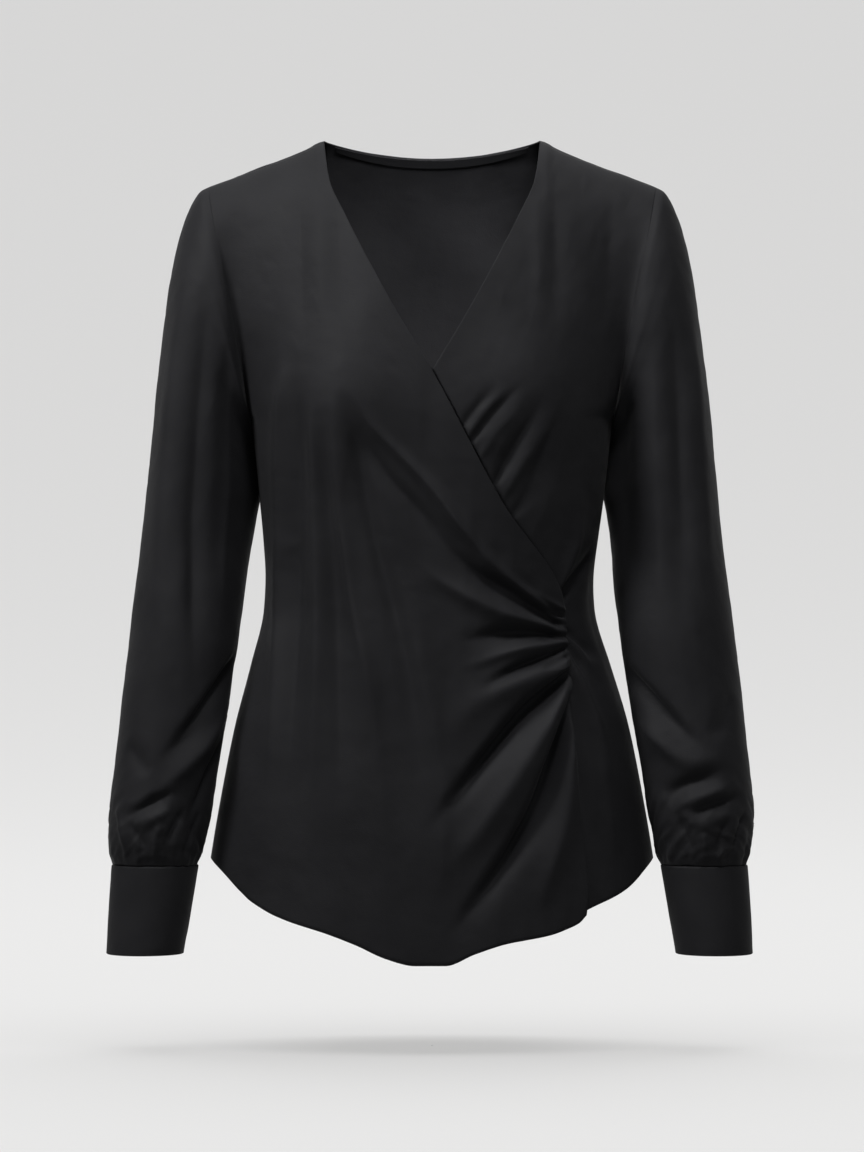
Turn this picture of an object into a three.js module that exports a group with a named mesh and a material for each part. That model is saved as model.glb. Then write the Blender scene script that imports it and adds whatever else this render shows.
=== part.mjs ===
// A long-sleeved wrap top, hollow and filled out as if worn. Millimetres, +Z up, the front towards -Y
// and the wearer's left towards +X. The origin lies midway between the high points of the shoulders.
// A drop is a distance below them.
import * as THREE from "three";

// Driving dimensions
const cloth = 1.2; // wall of the body and sleeves
const cuffCloth = 2; // doubled cloth of the cuffs
const seamGap = 0.36; // left between neighbouring pieces
const neckHalf = 90; // half of the neck's width at the high points
const backNeckDrop = 10.8;
const armhole = { topX: 187, underX: 151, underDrop: 231, front: 46, back: 54 };
const sideDrop = 598; // end of the side seams
const seamForward = 0.1; // radians that the shoulder seams lie in front of the ridge
const frontStart = 0.109; // where the fronts start, clear of the back's edge
const levelLength = 320; // drop for one unit of level below the armholes
const bust = { height: 15, apartHalf: 82, drop: 214, wide: 54, tall: 62 };
const frontRoundness = 2.3;
const backRoundness = 2.4;
const crown = { shoulder: 1 / 1.1, below: 1 / 2, edgeFade: 2.2 }; // powers that round a section off
const nip = { depth: 4.5, drop: 385, tall: 60 }; // the gathers draw in the left side of the waist
const pinch = { depth: 5, x: 112, drop: 413, wide: 30, tall: 36 }; // and dimple the front
const layer = { lapped: -2.4, gathered: -4.8, hidden: -16, ramp: 9 }; // depths of the under-wrap
const lapStarts = { from: 30, to: 150 }; // drops over which it sinks below the over-wrap's edge
const lapEnds = { near: 4, far: 50 }; // it comes up again this far from that edge

const table = (names, ...rows) => rows.map((row) => Object.fromEntries(names.map((n, i) => [n, row[i]])));
const lerp = THREE.MathUtils.lerp;
const clamp = THREE.MathUtils.clamp;
const smooth = THREE.MathUtils.smoothstep;
const bell = (distance, width) => Math.exp(-((distance / width) ** 2));

// Shoulder line from the middle of the neck to the top of the armhole
const shoulderLine = table(
  ["x", "drop"],
  [0, -26],
  [12, -25.7],
  [40, -19.5],
  [66, -9],
  [89, -0.5],
  [95, 1.2],
  [102, 5.4],
  [114, 10.9],
  [180, 35.9],
  [190, 39.7],
);

// Body below the armholes: half width at the side seams and depth before and behind them
const bodySections = table(
  ["drop", "halfWidth", "front", "back"],
  [0, 151, 104, 97],
  [231, 151, 104, 97],
  [262, 147.6, 103.4, 94],
  [300, 143.8, 101.5, 87],
  [335, 140.6, 99, 80],
  [363, 139, 97, 76],
  [390, 140.3, 96, 76],
  [437, 151.2, 97, 82],
  [488, 164.5, 98.5, 91],
  [538, 174.5, 99, 97],
  [588, 183.2, 99, 100],
  [650, 192, 98, 102],
  [700, 197, 97, 103],
);

// Free edge of the over-wrap down to the gathers, then the seam that holds them, then the seam on to the hem
const wrapEdge = table(
  ["drop", "x"],
  [1.1, -90],
  [36, -84.5],
  [66, -71.3],
  [110, -49],
  [151, -26.4],
  [195, 0],
  [302, 57.2],
  [383, 109],
  [412, 112],
  [441, 114],
  [477, 115],
  [552, 121],
  [590, 126],
  [622, 129],
  [643, 127],
);
const gather = { top: 383, bottom: 441, end: 643, above: 30, fadeFrom: 471, fadeTo: 531 };
const hiddenEdge = { x: -76, drop: 338, bottom: 649, shownTo: 300 }; // where the under-wrap ends inside

// Hems, each from one side of the body to the other
const frontHem = table(
  ["x", "drop"],
  [-184.6, 598],
  [-175, 607],
  [-150, 630],
  [-124, 644],
  [-87, 655.5],
  [-63, 664.5],
  [-38, 675.6],
  [-14, 681.4],
  [11, 681.4],
  [35, 672],
  [60, 664],
  [97, 657],
  [109, 653],
  [121, 647.5],
  [127, 641],
);
const sideHem = table(["x", "drop"], [-80, 648], [20, 660], [100, 650], [131, 636], [160, 622], [184.6, 598]);
const backHem = table(["x", "drop"], [0, 664], [60, 659], [110, 644], [150, 623], [175, 605], [184.6, 598]);

// Folds of the fronts: ridges (height over 0) and troughs, along paths of x and drop. Held ones keep
// their height up to the gathered seam, where the path starts.
const foldColumns = ["height", "width", "held", "path"];
const wrapFolds = table(
  foldColumns,
  [3.4, 8, 1, [[109, 401], [80, 379], [51, 354], [23, 322], [-42, 248], [-70, 214]]],
  [-5, 8, 1, [[110, 404], [98, 397], [64, 375], [31, 356], [-10, 316]]],
  [4, 8, 1, [[110, 408], [60, 394], [19, 374]]],
  [-4.4, 8, 1, [[111, 413], [84, 409], [20, 418]]],
  [3.6, 8, 1, [[111, 417], [66, 424], [20, 440]]],
  [-5, 8, 1, [[111, 422], [64, 441], [36, 458]]],
  [5, 12, 1, [[112, 432], [44, 462], [8, 500]]],
  [-10, 10, 1, [[113, 439], [76, 473], [47, 506], [19, 542], [-4, 574]]],
  [7, 12, 1, [[113, 451], [92, 489], [39, 571], [4, 614]]],
  [-10, 10.5, 1, [[114, 462], [98, 513], [64, 587], [12, 664]]],
  [4.5, 12, 1, [[116, 486], [110, 554], [82, 646]]],
  [3.4, 10, 0, [[-120, 196], [-126, 350], [-130, 460], [-138, 590]]],
  [-3, 11, 0, [[-104, 214], [-100, 350], [-116, 580]]],
  [4, 11, 0, [[-84, 210], [-67, 375], [-34, 560]]],
  [-4, 11, 0, [[-76, 214], [-46, 330], [-8, 520]]],
);
const underFolds = table(
  foldColumns,
  [-2.6, 6.5, 1, [[31, 256], [58, 222], [78, 204]]],
  [-4, 7, 1, [[51, 292], [77, 244], [94, 214]]],
  [2.4, 7, 1, [[58, 300], [92, 244], [106, 214]]],
  [-2.8, 7, 1, [[66, 316], [93, 258], [106, 222]]],
  [3, 7, 1, [[107, 377], [121, 330], [124, 290]]],
  [-3.6, 6.5, 1, [[109, 384], [129, 352], [138, 330]]],
  [-3, 6.5, 1, [[112, 406], [134, 424], [144, 434]]],
  [3.4, 7, 1, [[115, 426], [141, 492], [152, 540]]],
  [-3.6, 8, 1, [[115, 440], [125, 546], [132, 612]]],
);

const backFolds = table(
  foldColumns,
  [-2, 15, 0, [[-104, 70], [-98, 180], [-84, 330], [-78, 440]]],
  [2, 15, 0, [[-70, 90], [-64, 220], [-56, 360], [-58, 470]]],
  [-2, 15, 0, [[92, 80], [88, 200], [80, 340], [74, 430]]],
  [2, 15, 0, [[62, 100], [60, 240], [50, 380], [52, 480]]],
  [-3, 13, 0, [[142, 388], [104, 394], [52, 410]]],
  [2.6, 13, 0, [[142, 410], [108, 422], [60, 446]]],
  [-3, 13, 0, [[146, 428], [114, 456], [74, 506]]],
  [2.4, 14, 0, [[150, 446], [124, 490], [100, 560]]],
  [-2.4, 13, 0, [[-128, 330], [-92, 356], [-40, 362]]],
  [2.2, 13, 0, [[-128, 366], [-88, 384], [-36, 388]]],
  [2.2, 17, 0, [[-60, 440], [-66, 540], [-74, 650]]],
  [-2.2, 16, 0, [[-20, 430], [-22, 540], [-26, 655]]],
  [2.2, 17, 0, [[18, 440], [22, 540], [30, 655]]],
);

// A sleeve, from the armhole down: its outer and inner lines as seen from the front, its half depth and
// how far its middle lies to the back
const sleeveSections = table(
  ["outX", "outDrop", "inX", "inDrop", "halfDepth", "midY"],
  [187.2, 38.6, 151.6, 231.3, 50, 4],
  [193.4, 42.2, 151.8, 234.3, 53, 4],
  [199, 50, 151.9, 238, 55, 4],
  [205.4, 64, 151.9, 243, 57, 4],
  [212.6, 87, 151.9, 250, 58, 3],
  [218.4, 116, 151.6, 259, 58, 2],
  [223.4, 152, 151.2, 270, 57, 1],
  [228.8, 196, 150.4, 282, 55.5, 0],
  [234, 248, 149.2, 295, 54, -2],
  [238.8, 298, 148.6, 312, 52.5, -4],
  [243.8, 348, 153, 348, 51, -7],
  [248.8, 388, 157, 386, 50.5, -10],
  [253.6, 428, 162, 424, 50, -13],
  [258, 464, 167.4, 460, 49, -16],
  [261.4, 498, 173, 494, 48, -19],
  [264.6, 528, 178.6, 526, 46, -22],
  [266.6, 553, 183, 553, 44, -24],
  [267.2, 574, 187.6, 574, 41.5, -25],
  [266.4, 589, 190.8, 589, 37.5, -26],
  [265, 602, 194.2, 602, 33, -27],
);
// The wearer's left sleeve hangs closer and wider
const leftSleeve = { inward: 4, from: 320, to: 600, inEase: 60, outEase: 50 };
const cuff = { halfDepth: 32.5, midY: -27, backward: -3 };
const cuffEnds = table(["outX", "inX", "drop"], [265, 194.2, 602.1], [270, 206, 676]);
const cuffTurns = table(["t", "flare"], [0, 0], [0.06, 0.5], [0.5, 0.7], [1, 0]);

// Folds of a sleeve: the turn is 0 along its outer line, 90 in front, 180 inside and 270 behind
const sleeveFoldColumns = ["height", "width", "path"];
const sleeveFolds = table(
  sleeveFoldColumns,
  [-3, 12, [[66, 120], [70, 200], [75, 300], [88, 370], [112, 450]]],
  [2, 12, [[100, 200], [106, 300], [112, 400]]],
  [-6, 10.5, [[172, 436], [136, 461], [100, 502], [83, 515]]],
  [4, 10.5, [[165, 475], [137, 502], [106, 527], [84, 545]]],
  [-4, 9, [[164, 508], [138, 548]]],
  [-3.6, 8.5, [[98, 543], [56, 561]]],
  [-3, 9, [[40, 506], [70, 530]]],
  [-2, 13, [[290, 130], [284, 240], [276, 380]]],
  [2, 13, [[246, 180], [250, 300], [256, 400]]],
  [-5, 12, [[196, 440], [234, 462], [270, 500]]],
  [3.4, 11, [[200, 482], [240, 500], [290, 536]]],
  [-3.6, 9, [[210, 540], [250, 560]]],
  [-3.4, 9, [[286, 556], [330, 548]]],
);
const cuffGathers = { count: 8, height: 1.7, drop: 586, tall: 15 };

// Reads one column of a table against another, along a curve that never swings past its rows.
function curveOf(rows, from, to) {
  const at = rows.map((row) => row[from]);
  const value = rows.map((row) => row[to]);
  const rise = at.slice(1).map((a, i) => (value[i + 1] - value[i]) / (a - at[i]));
  const slope = at.map((_, i) => {
    const before = rise[Math.max(i - 1, 0)];
    const after = rise[Math.min(i, rise.length - 1)];
    return before * after <= 0 ? 0 : (2 * before * after) / (before + after);
  });
  return (wanted) => {
    const x = clamp(wanted, at[0], at[at.length - 1]);
    const i = clamp(at.findIndex((a) => a > x) - 1, -1, at.length - 2);
    const k = i < 0 ? at.length - 2 : i;
    const span = at[k + 1] - at[k];
    const t = (x - at[k]) / span;
    const low = value[k] * (1 + 2 * t) * (1 - t) ** 2 + slope[k] * span * t * (1 - t) ** 2;
    return low + value[k + 1] * t * t * (3 - 2 * t) - slope[k + 1] * span * t * t * (1 - t);
  };
}

const shoulderDrop = curveOf(shoulderLine, "x", "drop");
const halfWidthAt = curveOf(bodySections, "drop", "halfWidth");
const depthAt = {
  front: curveOf(bodySections, "drop", "front"),
  back: curveOf(bodySections, "drop", "back"),
};
const wrapEdgeX = curveOf(wrapEdge, "drop", "x");
const frontHemDrop = curveOf(frontHem, "x", "drop");
const sideHemDrop = curveOf(sideHem, "x", "drop");
const backHemDrop = curveOf(backHem, "x", "drop");

// A level runs from 0 on the shoulder line to 1 at the bottom of the armholes, as an eased turn over the
// shoulder, and on down the body at a steady pace. A level under 0 lies past the ridge, on the other face.
function dropOf(x, level) {
  const top = shoulderDrop(Math.abs(x));
  if (level > 1) return armhole.underDrop + (level - 1) * levelLength;
  return top + (armhole.underDrop - top) * (1 - Math.cos((level * Math.PI) / 2));
}

function levelOf(x, drop) {
  const top = shoulderDrop(Math.abs(x));
  if (drop > armhole.underDrop) return 1 + (drop - armhole.underDrop) / levelLength;
  return (Math.acos(clamp(1 - (drop - top) / (armhole.underDrop - top), -1, 1)) * 2) / Math.PI;
}

// Half width of the body: the armhole's slanted line above its bottom, the side seam below.
function edgeX(level, side) {
  if (level <= 1) return lerp(armhole.topX, armhole.underX, 1 - Math.cos((level * Math.PI) / 2));
  const drop = dropOf(0, level);
  return halfWidthAt(drop) - (side > 0 ? nip.depth * bell(drop - nip.drop, nip.tall) : 0);
}

// The body's form. Below the armholes a section is a rounded oval. Above them it runs from the
// armhole's own oval to the full depth, and over the shoulder.
function bodyPoint(x, level, face) {
  const side = level < 0 ? (face === "front" ? "back" : "front") : face;
  const turn = Math.min(Math.abs(level), 1) * (Math.PI / 2);
  const drop = dropOf(x, Math.abs(level));
  const front = side === "front";
  const roundness = front ? frontRoundness : backRoundness;
  const reach = Math.min(Math.abs(x) / edgeX(Math.abs(level), Math.sign(x)), 1);
  const mounds = bell(x - bust.apartHalf, bust.wide) + bell(x + bust.apartHalf, bust.wide);
  const rises = front ? bust.height * mounds : 0;
  const full = depthAt[side](drop) + rises * bell(drop - bust.drop, bust.tall);
  const pinched = bell(x - pinch.x, pinch.wide) * bell(drop - pinch.drop, pinch.tall);
  const dimple = front ? pinch.depth * pinched : 0;
  const openness = Math.sin(turn) ** 2;
  const mix = (1 - reach ** roundness) ** lerp(crown.shoulder, crown.below, openness);
  const edge = armhole[side] * Math.sqrt(Math.max(0, 1 - (2 * Math.cos(turn) - 1) ** 2));
  const fromEdge = edge * (1 - mix) ** lerp(1, crown.edgeFade, openness);
  const depth = fromEdge + full * Math.sin(turn) * mix - dimple * mix;
  return new THREE.Vector3(x, front ? -depth : depth, -drop);
}

// Height of all folds at a place, each a bell across its path that fades towards its ends. These are
// shares of a fold's height, width and length.
const foldStart = { height: 0.35, heldTo: 0.16, freeTo: 0.3, width: 0.5, widens: 0.3 };
const foldFade = 0.45;

function foldCurves(folds, stretch = 1) {
  return folds.map((fold) => {
    const path = fold.path.map(([x, drop]) => new THREE.Vector2(x * stretch, drop));
    return { ...fold, points: new THREE.SplineCurve(path).getPoints(16) };
  });
}

function foldHeight(folds, x, drop) {
  let sum = 0;
  for (const { height, width, held, points } of folds) {
    let nearest = { distance: Infinity, along: 0 };
    for (let i = 0; i + 1 < points.length; i++) {
      const [a, b] = [points[i], points[i + 1]];
      const span = b.clone().sub(a);
      const t = clamp(((x - a.x) * span.x + (drop - a.y) * span.y) / span.lengthSq(), 0, 1);
      const distance = Math.hypot(a.x + span.x * t - x, a.y + span.y * t - drop);
      if (distance < nearest.distance) nearest = { distance, along: (i + t) / (points.length - 1) };
    }
    const { along } = nearest;
    const full = smooth(along, 0, held ? foldStart.heldTo : foldStart.freeTo);
    const start = held ? lerp(foldStart.height, 1, full) : full;
    const spread = held ? width * lerp(foldStart.width, 1, smooth(along, 0, foldStart.widens)) : width;
    sum += height * bell(nearest.distance, spread) * start * smooth(1 - along, 0, foldFade);
  }
  return sum;
}

const wrapFoldCurves = foldCurves(wrapFolds);
const underFoldCurves = foldCurves(underFolds);
const backFoldCurves = foldCurves(backFolds);

// Normals of a grid of points, from its rows and columns, carried on to its borders. A round grid
// closes on itself along its rows.
function gridNormals(grid, round, sign) {
  const last = grid[0].length - 1;
  const carriedOn = (n, next) => n.clone().multiplyScalar(2).sub(next).normalize();
  const normals = grid.map((row, j) =>
    row.map((_, i) => {
      const left = round ? (i + last) % (last + 1) : Math.max(i - 1, 0);
      const right = round ? (i + 1) % (last + 1) : Math.min(i + 1, last);
      const across = row[right].clone().sub(row[left]);
      const down = grid[Math.min(j + 1, grid.length - 1)][i].clone().sub(grid[Math.max(j - 1, 0)][i]);
      return across.cross(down).normalize().multiplyScalar(sign);
    }),
  );
  if (round) return normals;
  return normals.map((row) =>
    row.map((n, i) => (i === 0 || i === last ? carriedOn(n, row[i === 0 ? 1 : last - 1]) : n)),
  );
}

const moved = (grid, normals, amount) =>
  grid.map((row, j) => row.map((p, i) => p.clone().addScaledVector(normals[j][i], amount(p, j, i))));

// Draws the free borders of a grid in by half of the gap left at a seam.
function drawnIn(grid, round) {
  const towards = (p, q) => p.clone().add(q.clone().sub(p).setLength(seamGap / 2));
  const result = grid.map((row) => row.map((p) => p.clone()));
  const bottom = grid.length - 1;
  const last = grid[0].length - 1;
  grid[0].forEach((p, i) => {
    result[0][i] = towards(p, grid[1][i]);
    result[bottom][i] = towards(grid[bottom][i], grid[bottom - 1][i]);
  });
  if (round) return result;
  result.forEach((row, j) => {
    row[0] = towards(row[0], result[j][1]);
    row[last] = towards(row[last], result[j][last - 1]);
  });
  return result;
}

// Closes an outer and an inner grid into a wall with rims along its borders.
function wallGeometry(outer, inner, round, sign) {
  const rows = outer.length;
  const columns = outer[0].length;
  const points = [...outer.flat(), ...inner.flat()];
  const base = rows * columns;
  const faces = [];
  const corners = (a, b, c, d, turned) => (turned ? [b, c, d, b, d, a] : [a, b, c, a, c, d]);
  const quad = (a, b, c, d, turned = false) =>
    faces.push(...(sign > 0 ? corners(a, b, c, d, turned) : corners(d, c, b, a, !turned)));
  const at = (j, i) => j * columns + (i % columns);
  const shorter = (a, b, c, d) => points[b].distanceTo(points[d]) < points[a].distanceTo(points[c]);
  const steps = round ? columns : columns - 1;
  for (let i = 0; i < steps; i++) {
    for (let j = 0; j + 1 < rows; j++) {
      const cell = [at(j, i), at(j, i + 1), at(j + 1, i + 1), at(j + 1, i)];
      const turned = shorter(...cell);
      quad(...cell, turned);
      quad(...cell.map((k) => base + k).reverse(), !turned);
    }
    quad(at(0, i + 1), at(0, i), base + at(0, i), base + at(0, i + 1));
    quad(at(rows - 1, i), at(rows - 1, i + 1), base + at(rows - 1, i + 1), base + at(rows - 1, i));
  }
  for (let j = 0; j + 1 < rows && !round; j++) {
    quad(at(j, 0), at(j + 1, 0), base + at(j + 1, 0), base + at(j, 0));
    quad(at(j + 1, steps), at(j, steps), base + at(j, steps), base + at(j + 1, steps));
  }
  const geometry = new THREE.BufferGeometry();
  geometry.setAttribute("position", new THREE.Float32BufferAttribute(points.flatMap((p) => p.toArray()), 3));
  geometry.setIndex(faces);
  geometry.computeVertexNormals();
  return geometry;
}

// Makes a cloth wall inward from a grid.
function clothGeometry(grid, { thickness = cloth, round = false, sign }) {
  const outer = drawnIn(grid, round);
  const inner = moved(outer, gridNormals(outer, round, sign), () => -thickness);
  return wallGeometry(outer, inner, round, sign);
}

// Where the rows of a front start, on its armhole and side seam.
const frontRows = { upper: 13, gathers: 8, lower: 9 };
const frontBreaks = { seamAllowance: 0.004, underarm: 0.36, gathersTop: 0.44, gathersBottom: 0.7 };

function rowSteps({ upper, gathers, lower }) {
  const { seamAllowance, gathersTop, gathersBottom } = frontBreaks;
  return [
    0,
    seamAllowance,
    ...Array.from({ length: upper - 1 }, (_, i) => (gathersTop * (i + 1)) / upper),
    ...Array.from({ length: gathers }, (_, i) => lerp(gathersTop, gathersBottom, i / gathers)),
    ...Array.from({ length: lower + 1 }, (_, i) => lerp(gathersBottom, 1, i / lower)),
  ];
}

function outerLevel(v) {
  const { underarm } = frontBreaks;
  if (v < underarm) return lerp(frontStart / (Math.PI / 2), 1, v / underarm);
  return lerp(1, levelOf(0, sideDrop), (v - underarm) / (1 - underarm));
}

// A front as a grid: each row runs from the armhole or side seam to the inner edge, and the last ones
// ease into the hem.
const hemEase = { from: 0.62, power: 1.4 };
const edgeEase = { from: 0.4, to: 1 };

function frontGrid({ side, rows, columns, innerDrop, innerX, hemDrop, lean }) {
  const fraction = (u, closeness) => {
    const rounded = lerp(1 - Math.cos((u * Math.PI) / 2), (1 - Math.cos(u * Math.PI)) / 2, lean);
    return lerp(u, rounded, closeness);
  };
  const placed = (v, u) => {
    const level = outerLevel(v);
    const s = fraction(u, smooth(level, edgeEase.from, edgeEase.to));
    const inner = { x: innerX(innerDrop(v)), level: levelOf(innerX(innerDrop(v)), innerDrop(v)) };
    return { x: lerp(side * edgeX(level, side), inner.x, s), level: lerp(level, inner.level, s) };
  };
  return rowSteps(rows).map((v) =>
    Array.from({ length: columns + 1 }, (_, i) => {
      const { x, level } = placed(v, i / columns);
      const end = placed(1, i / columns);
      const ease = Math.max(0, (v - hemEase.from) / (1 - hemEase.from)) ** hemEase.power;
      return bodyPoint(x, level + (levelOf(end.x, hemDrop(end.x)) - end.level) * ease, "front");
    }),
  );
}

function overWrapDrop(v) {
  const { gathersTop, gathersBottom } = frontBreaks;
  if (v < gathersTop) return lerp(wrapEdge[0].drop, gather.top, v / gathersTop);
  const share = (v - gathersTop) / (gathersBottom - gathersTop);
  if (v < gathersBottom) return lerp(gather.top, gather.bottom, share);
  return lerp(gather.bottom, gather.end, (v - gathersBottom) / (1 - gathersBottom));
}

function overWrapGeometry() {
  const form = frontGrid({
    side: -1,
    rows: frontRows,
    columns: 24,
    lean: 0.45, // how far the columns gather at the inner edge too
    innerDrop: overWrapDrop,
    innerX: wrapEdgeX,
    hemDrop: frontHemDrop,
  });
  const folded = moved(form, gridNormals(form, false, -1), (p) => foldHeight(wrapFoldCurves, p.x, -p.z));
  return clothGeometry(folded, { sign: -1 });
}

// The under-wrap mirrors the neck edge. It sinks below the over-wrap and goes on smooth to its free edge.
const underEdge = [
  ...wrapEdge.filter((row) => row.drop < hiddenEdge.shownTo).map(({ drop, x }) => ({ drop, x: -x })),
  { drop: hiddenEdge.drop, x: hiddenEdge.x },
  { drop: hiddenEdge.bottom, x: hiddenEdge.x },
];
const underEdgeX = curveOf(underEdge, "drop", "x");

function underWrapGeometry() {
  const form = frontGrid({
    side: 1,
    rows: { upper: 13, gathers: 6, lower: 8 },
    columns: 20,
    lean: 0,
    innerDrop: (v) => lerp(wrapEdge[0].drop, hiddenEdge.bottom, v ** 1.05),
    innerX: underEdgeX,
    hemDrop: sideHemDrop,
  });
  const sunk = (p) => {
    const drop = -p.z;
    const inside = wrapEdgeX(drop) - p.x;
    const hidden = smooth(inside, 0, layer.ramp);
    const { above, fadeFrom, fadeTo } = gather;
    const nearGathers = smooth(drop, gather.top - above, gather.top) * (1 - smooth(drop, fadeFrom, fadeTo));
    const lowered = layer.lapped * smooth(drop, lapStarts.from, lapStarts.to);
    const lapped = lerp(lowered, layer.gathered, nearGathers);
    const shown = lerp(lapped, lapped / 6, smooth(-inside, lapEnds.near, lapEnds.far));
    return lerp(shown + foldHeight(underFoldCurves, p.x, drop), layer.hidden, hidden);
  };
  const folded = moved(form, gridNormals(form, false, 1), sunk);
  return clothGeometry(folded, { sign: 1 });
}

// The back wraps a little way over the shoulders. Its columns keep to the ends of the neck.
const backColumns = { neck: 5, side: 9, closeness: 1.8 };
const backRows = { binding: 0.055, upper: 12, lower: 15 };

function backFractions() {
  const neck = neckHalf / armhole.topX;
  const { neck: inner, side: outer, closeness } = backColumns;
  const half = [
    ...Array.from({ length: inner }, (_, i) => neck * Math.sin((i * Math.PI) / 2 / inner)),
    ...Array.from({ length: outer + 1 }, (_, i) => 1 - (1 - neck) * (1 - i / outer) ** closeness),
  ];
  return [...half.slice(1).reverse().map((s) => -s), ...half];
}

function backTopLevel(x) {
  if (Math.abs(x) >= neckHalf - 0.01) return -seamForward / (Math.PI / 2);
  return levelOf(x, backNeckDrop * (1 - (x / neckHalf) ** 2) - 0.4);
}

// v is 0 at the top edge, 1 at the bottom of the armholes and 2 at the hem.
function backPoint(fraction, v) {
  const top = backTopLevel(fraction * armhole.topX);
  const bottomX = fraction * edgeX(levelOf(0, sideDrop), fraction);
  const bottom = levelOf(0, backHemDrop(Math.abs(bottomX)));
  const level = v < 1 ? lerp(top, 1, v) : lerp(1, bottom, v - 1);
  const sideLevel = v < 1 ? lerp(-seamForward / (Math.PI / 2), 1, v) : lerp(1, levelOf(0, sideDrop), v - 1);
  return bodyPoint(fraction * edgeX(Math.abs(sideLevel), fraction), level, "back");
}

function backForm() {
  const { binding: firstRow, upper, lower } = backRows;
  const steps = [
    0,
    ...Array.from({ length: upper }, (_, i) => lerp(firstRow, 1, i / upper)),
    ...Array.from({ length: lower + 1 }, (_, i) => 1 + i / lower),
  ];
  return steps.map((v) => backFractions().map((fraction) => backPoint(fraction, v)));
}

function backGeometry() {
  const form = backForm();
  const height = (p) => foldHeight(backFoldCurves, p.x, -p.z);
  return clothGeometry(moved(form, gridNormals(form, false, 1), height), { sign: 1 });
}

// A narrow turned strip inside the back neck, made from the back's own first rows.
const binding = { thickness: 0.9, clearOfShoulder: 1 };

function bindingGeometry() {
  const back = drawnIn(backForm(), false);
  const inward = gridNormals(back, false, 1);
  const middle = (back[0].length - 1) / 2;
  const reach = backColumns.neck - binding.clearOfShoulder;
  const strip = moved(back, inward, () => -cloth - seamGap)
    .slice(0, 2)
    .map((row) => row.slice(middle - reach, middle + reach + 1));
  return clothGeometry(strip, { thickness: binding.thickness, sign: 1 });
}

// Sleeves
const sleeveShape = { around: 24, evenFrom: 4, foldsFrom: 2, foldsFull: 5, foldsEnd: 1.5 };
const armholeClearance = { top: 0.52, bottom: 0.82 }; // from the body out to the sleeve's edge
const sleeveReads = {};
sleeveSections.forEach((row, i) => Object.assign(row, { station: i }));
["outX", "outDrop", "inX", "inDrop", "halfDepth", "midY"].forEach((name) => {
  sleeveReads[name] = curveOf(sleeveSections, "station", name);
});
const radiansToMm = 49; // mean radius of a sleeve, to measure folds round it
const sleeveFoldCurves = foldCurves(sleeveFolds, (Math.PI / 180) * radiansToMm);

// A ring of a sleeve is an oval across the line from its outer to its inner side.
function ringPoint({ outX, outDrop, inX, inDrop, halfDepth, midY }, side, angle) {
  const share = (1 - Math.cos(angle)) / 2;
  const y = midY - halfDepth * Math.sin(angle);
  return new THREE.Vector3(side * lerp(outX, inX, share), y, -lerp(outDrop, inDrop, share));
}

// The armhole's edge at an angle of the ring, a little out from the body, most at the bottom
function armholePoint(side, angle) {
  const share = (1 - Math.cos(angle)) / 2;
  const level = (Math.acos(1 - share) * 2) / Math.PI;
  const edge = bodyPoint(side * edgeX(level, side), level, Math.sin(angle) > 0 ? "front" : "back");
  return edge.setX(edge.x + side * lerp(armholeClearance.top, armholeClearance.bottom, share ** 2));
}

// A sleeve's rings, the first ones drawn to the armhole's edge
function sleevePoint(station, side, angle) {
  const drawn = 1 - smooth(station, 0, sleeveShape.evenFrom);
  const shift = armholePoint(side, angle).sub(ringPoint(sleeveRing(0, side), side, angle));
  return ringPoint(sleeveRing(station, side), side, angle).addScaledVector(shift, drawn);
}

function sleeveRing(station, side) {
  const ring = Object.fromEntries(Object.entries(sleeveReads).map(([name, read]) => [name, read(station)]));
  if (side > 0) {
    ring.inX -= leftSleeve.inward * smooth(ring.inDrop, leftSleeve.from, leftSleeve.from + leftSleeve.inEase);
    ring.outX -= leftSleeve.inward * smooth(ring.outDrop, leftSleeve.to - leftSleeve.outEase, leftSleeve.to);
  }
  return ring;
}

function sleeveFoldHeight(point, angle, station) {
  const drop = -point.z;
  const around = angle * radiansToMm;
  const round = 2 * Math.PI * radiansToMm;
  const secondTurn = foldHeight(sleeveFoldCurves, around + round, drop);
  const folds = foldHeight(sleeveFoldCurves, around, drop) + secondTurn;
  const nearCuff = bell(drop - cuffGathers.drop, cuffGathers.tall);
  const pleats = cuffGathers.height * Math.cos(angle * cuffGathers.count) * nearCuff;
  const toCuff = sleeveSections.length - 1 - station;
  const { foldsFrom, foldsFull, foldsEnd } = sleeveShape;
  return folds * smooth(station, foldsFrom, foldsFull) * smooth(toCuff, 0, foldsEnd) + pleats;
}

function sleeveGeometry(side) {
  const angles = Array.from({ length: sleeveShape.around }, (_, i) => (i / sleeveShape.around) * 2 * Math.PI);
  const stations = sleeveSections.map((_, i) => i);
  const form = stations.map((s) => angles.map((a) => sleevePoint(s, side, a)));
  const sign = side;
  const height = (p, j, i) => sleeveFoldHeight(p, angles[i], stations[j]);
  const folded = moved(form, gridNormals(form, true, sign), height);
  return clothGeometry(folded, { round: true, sign });
}

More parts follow.
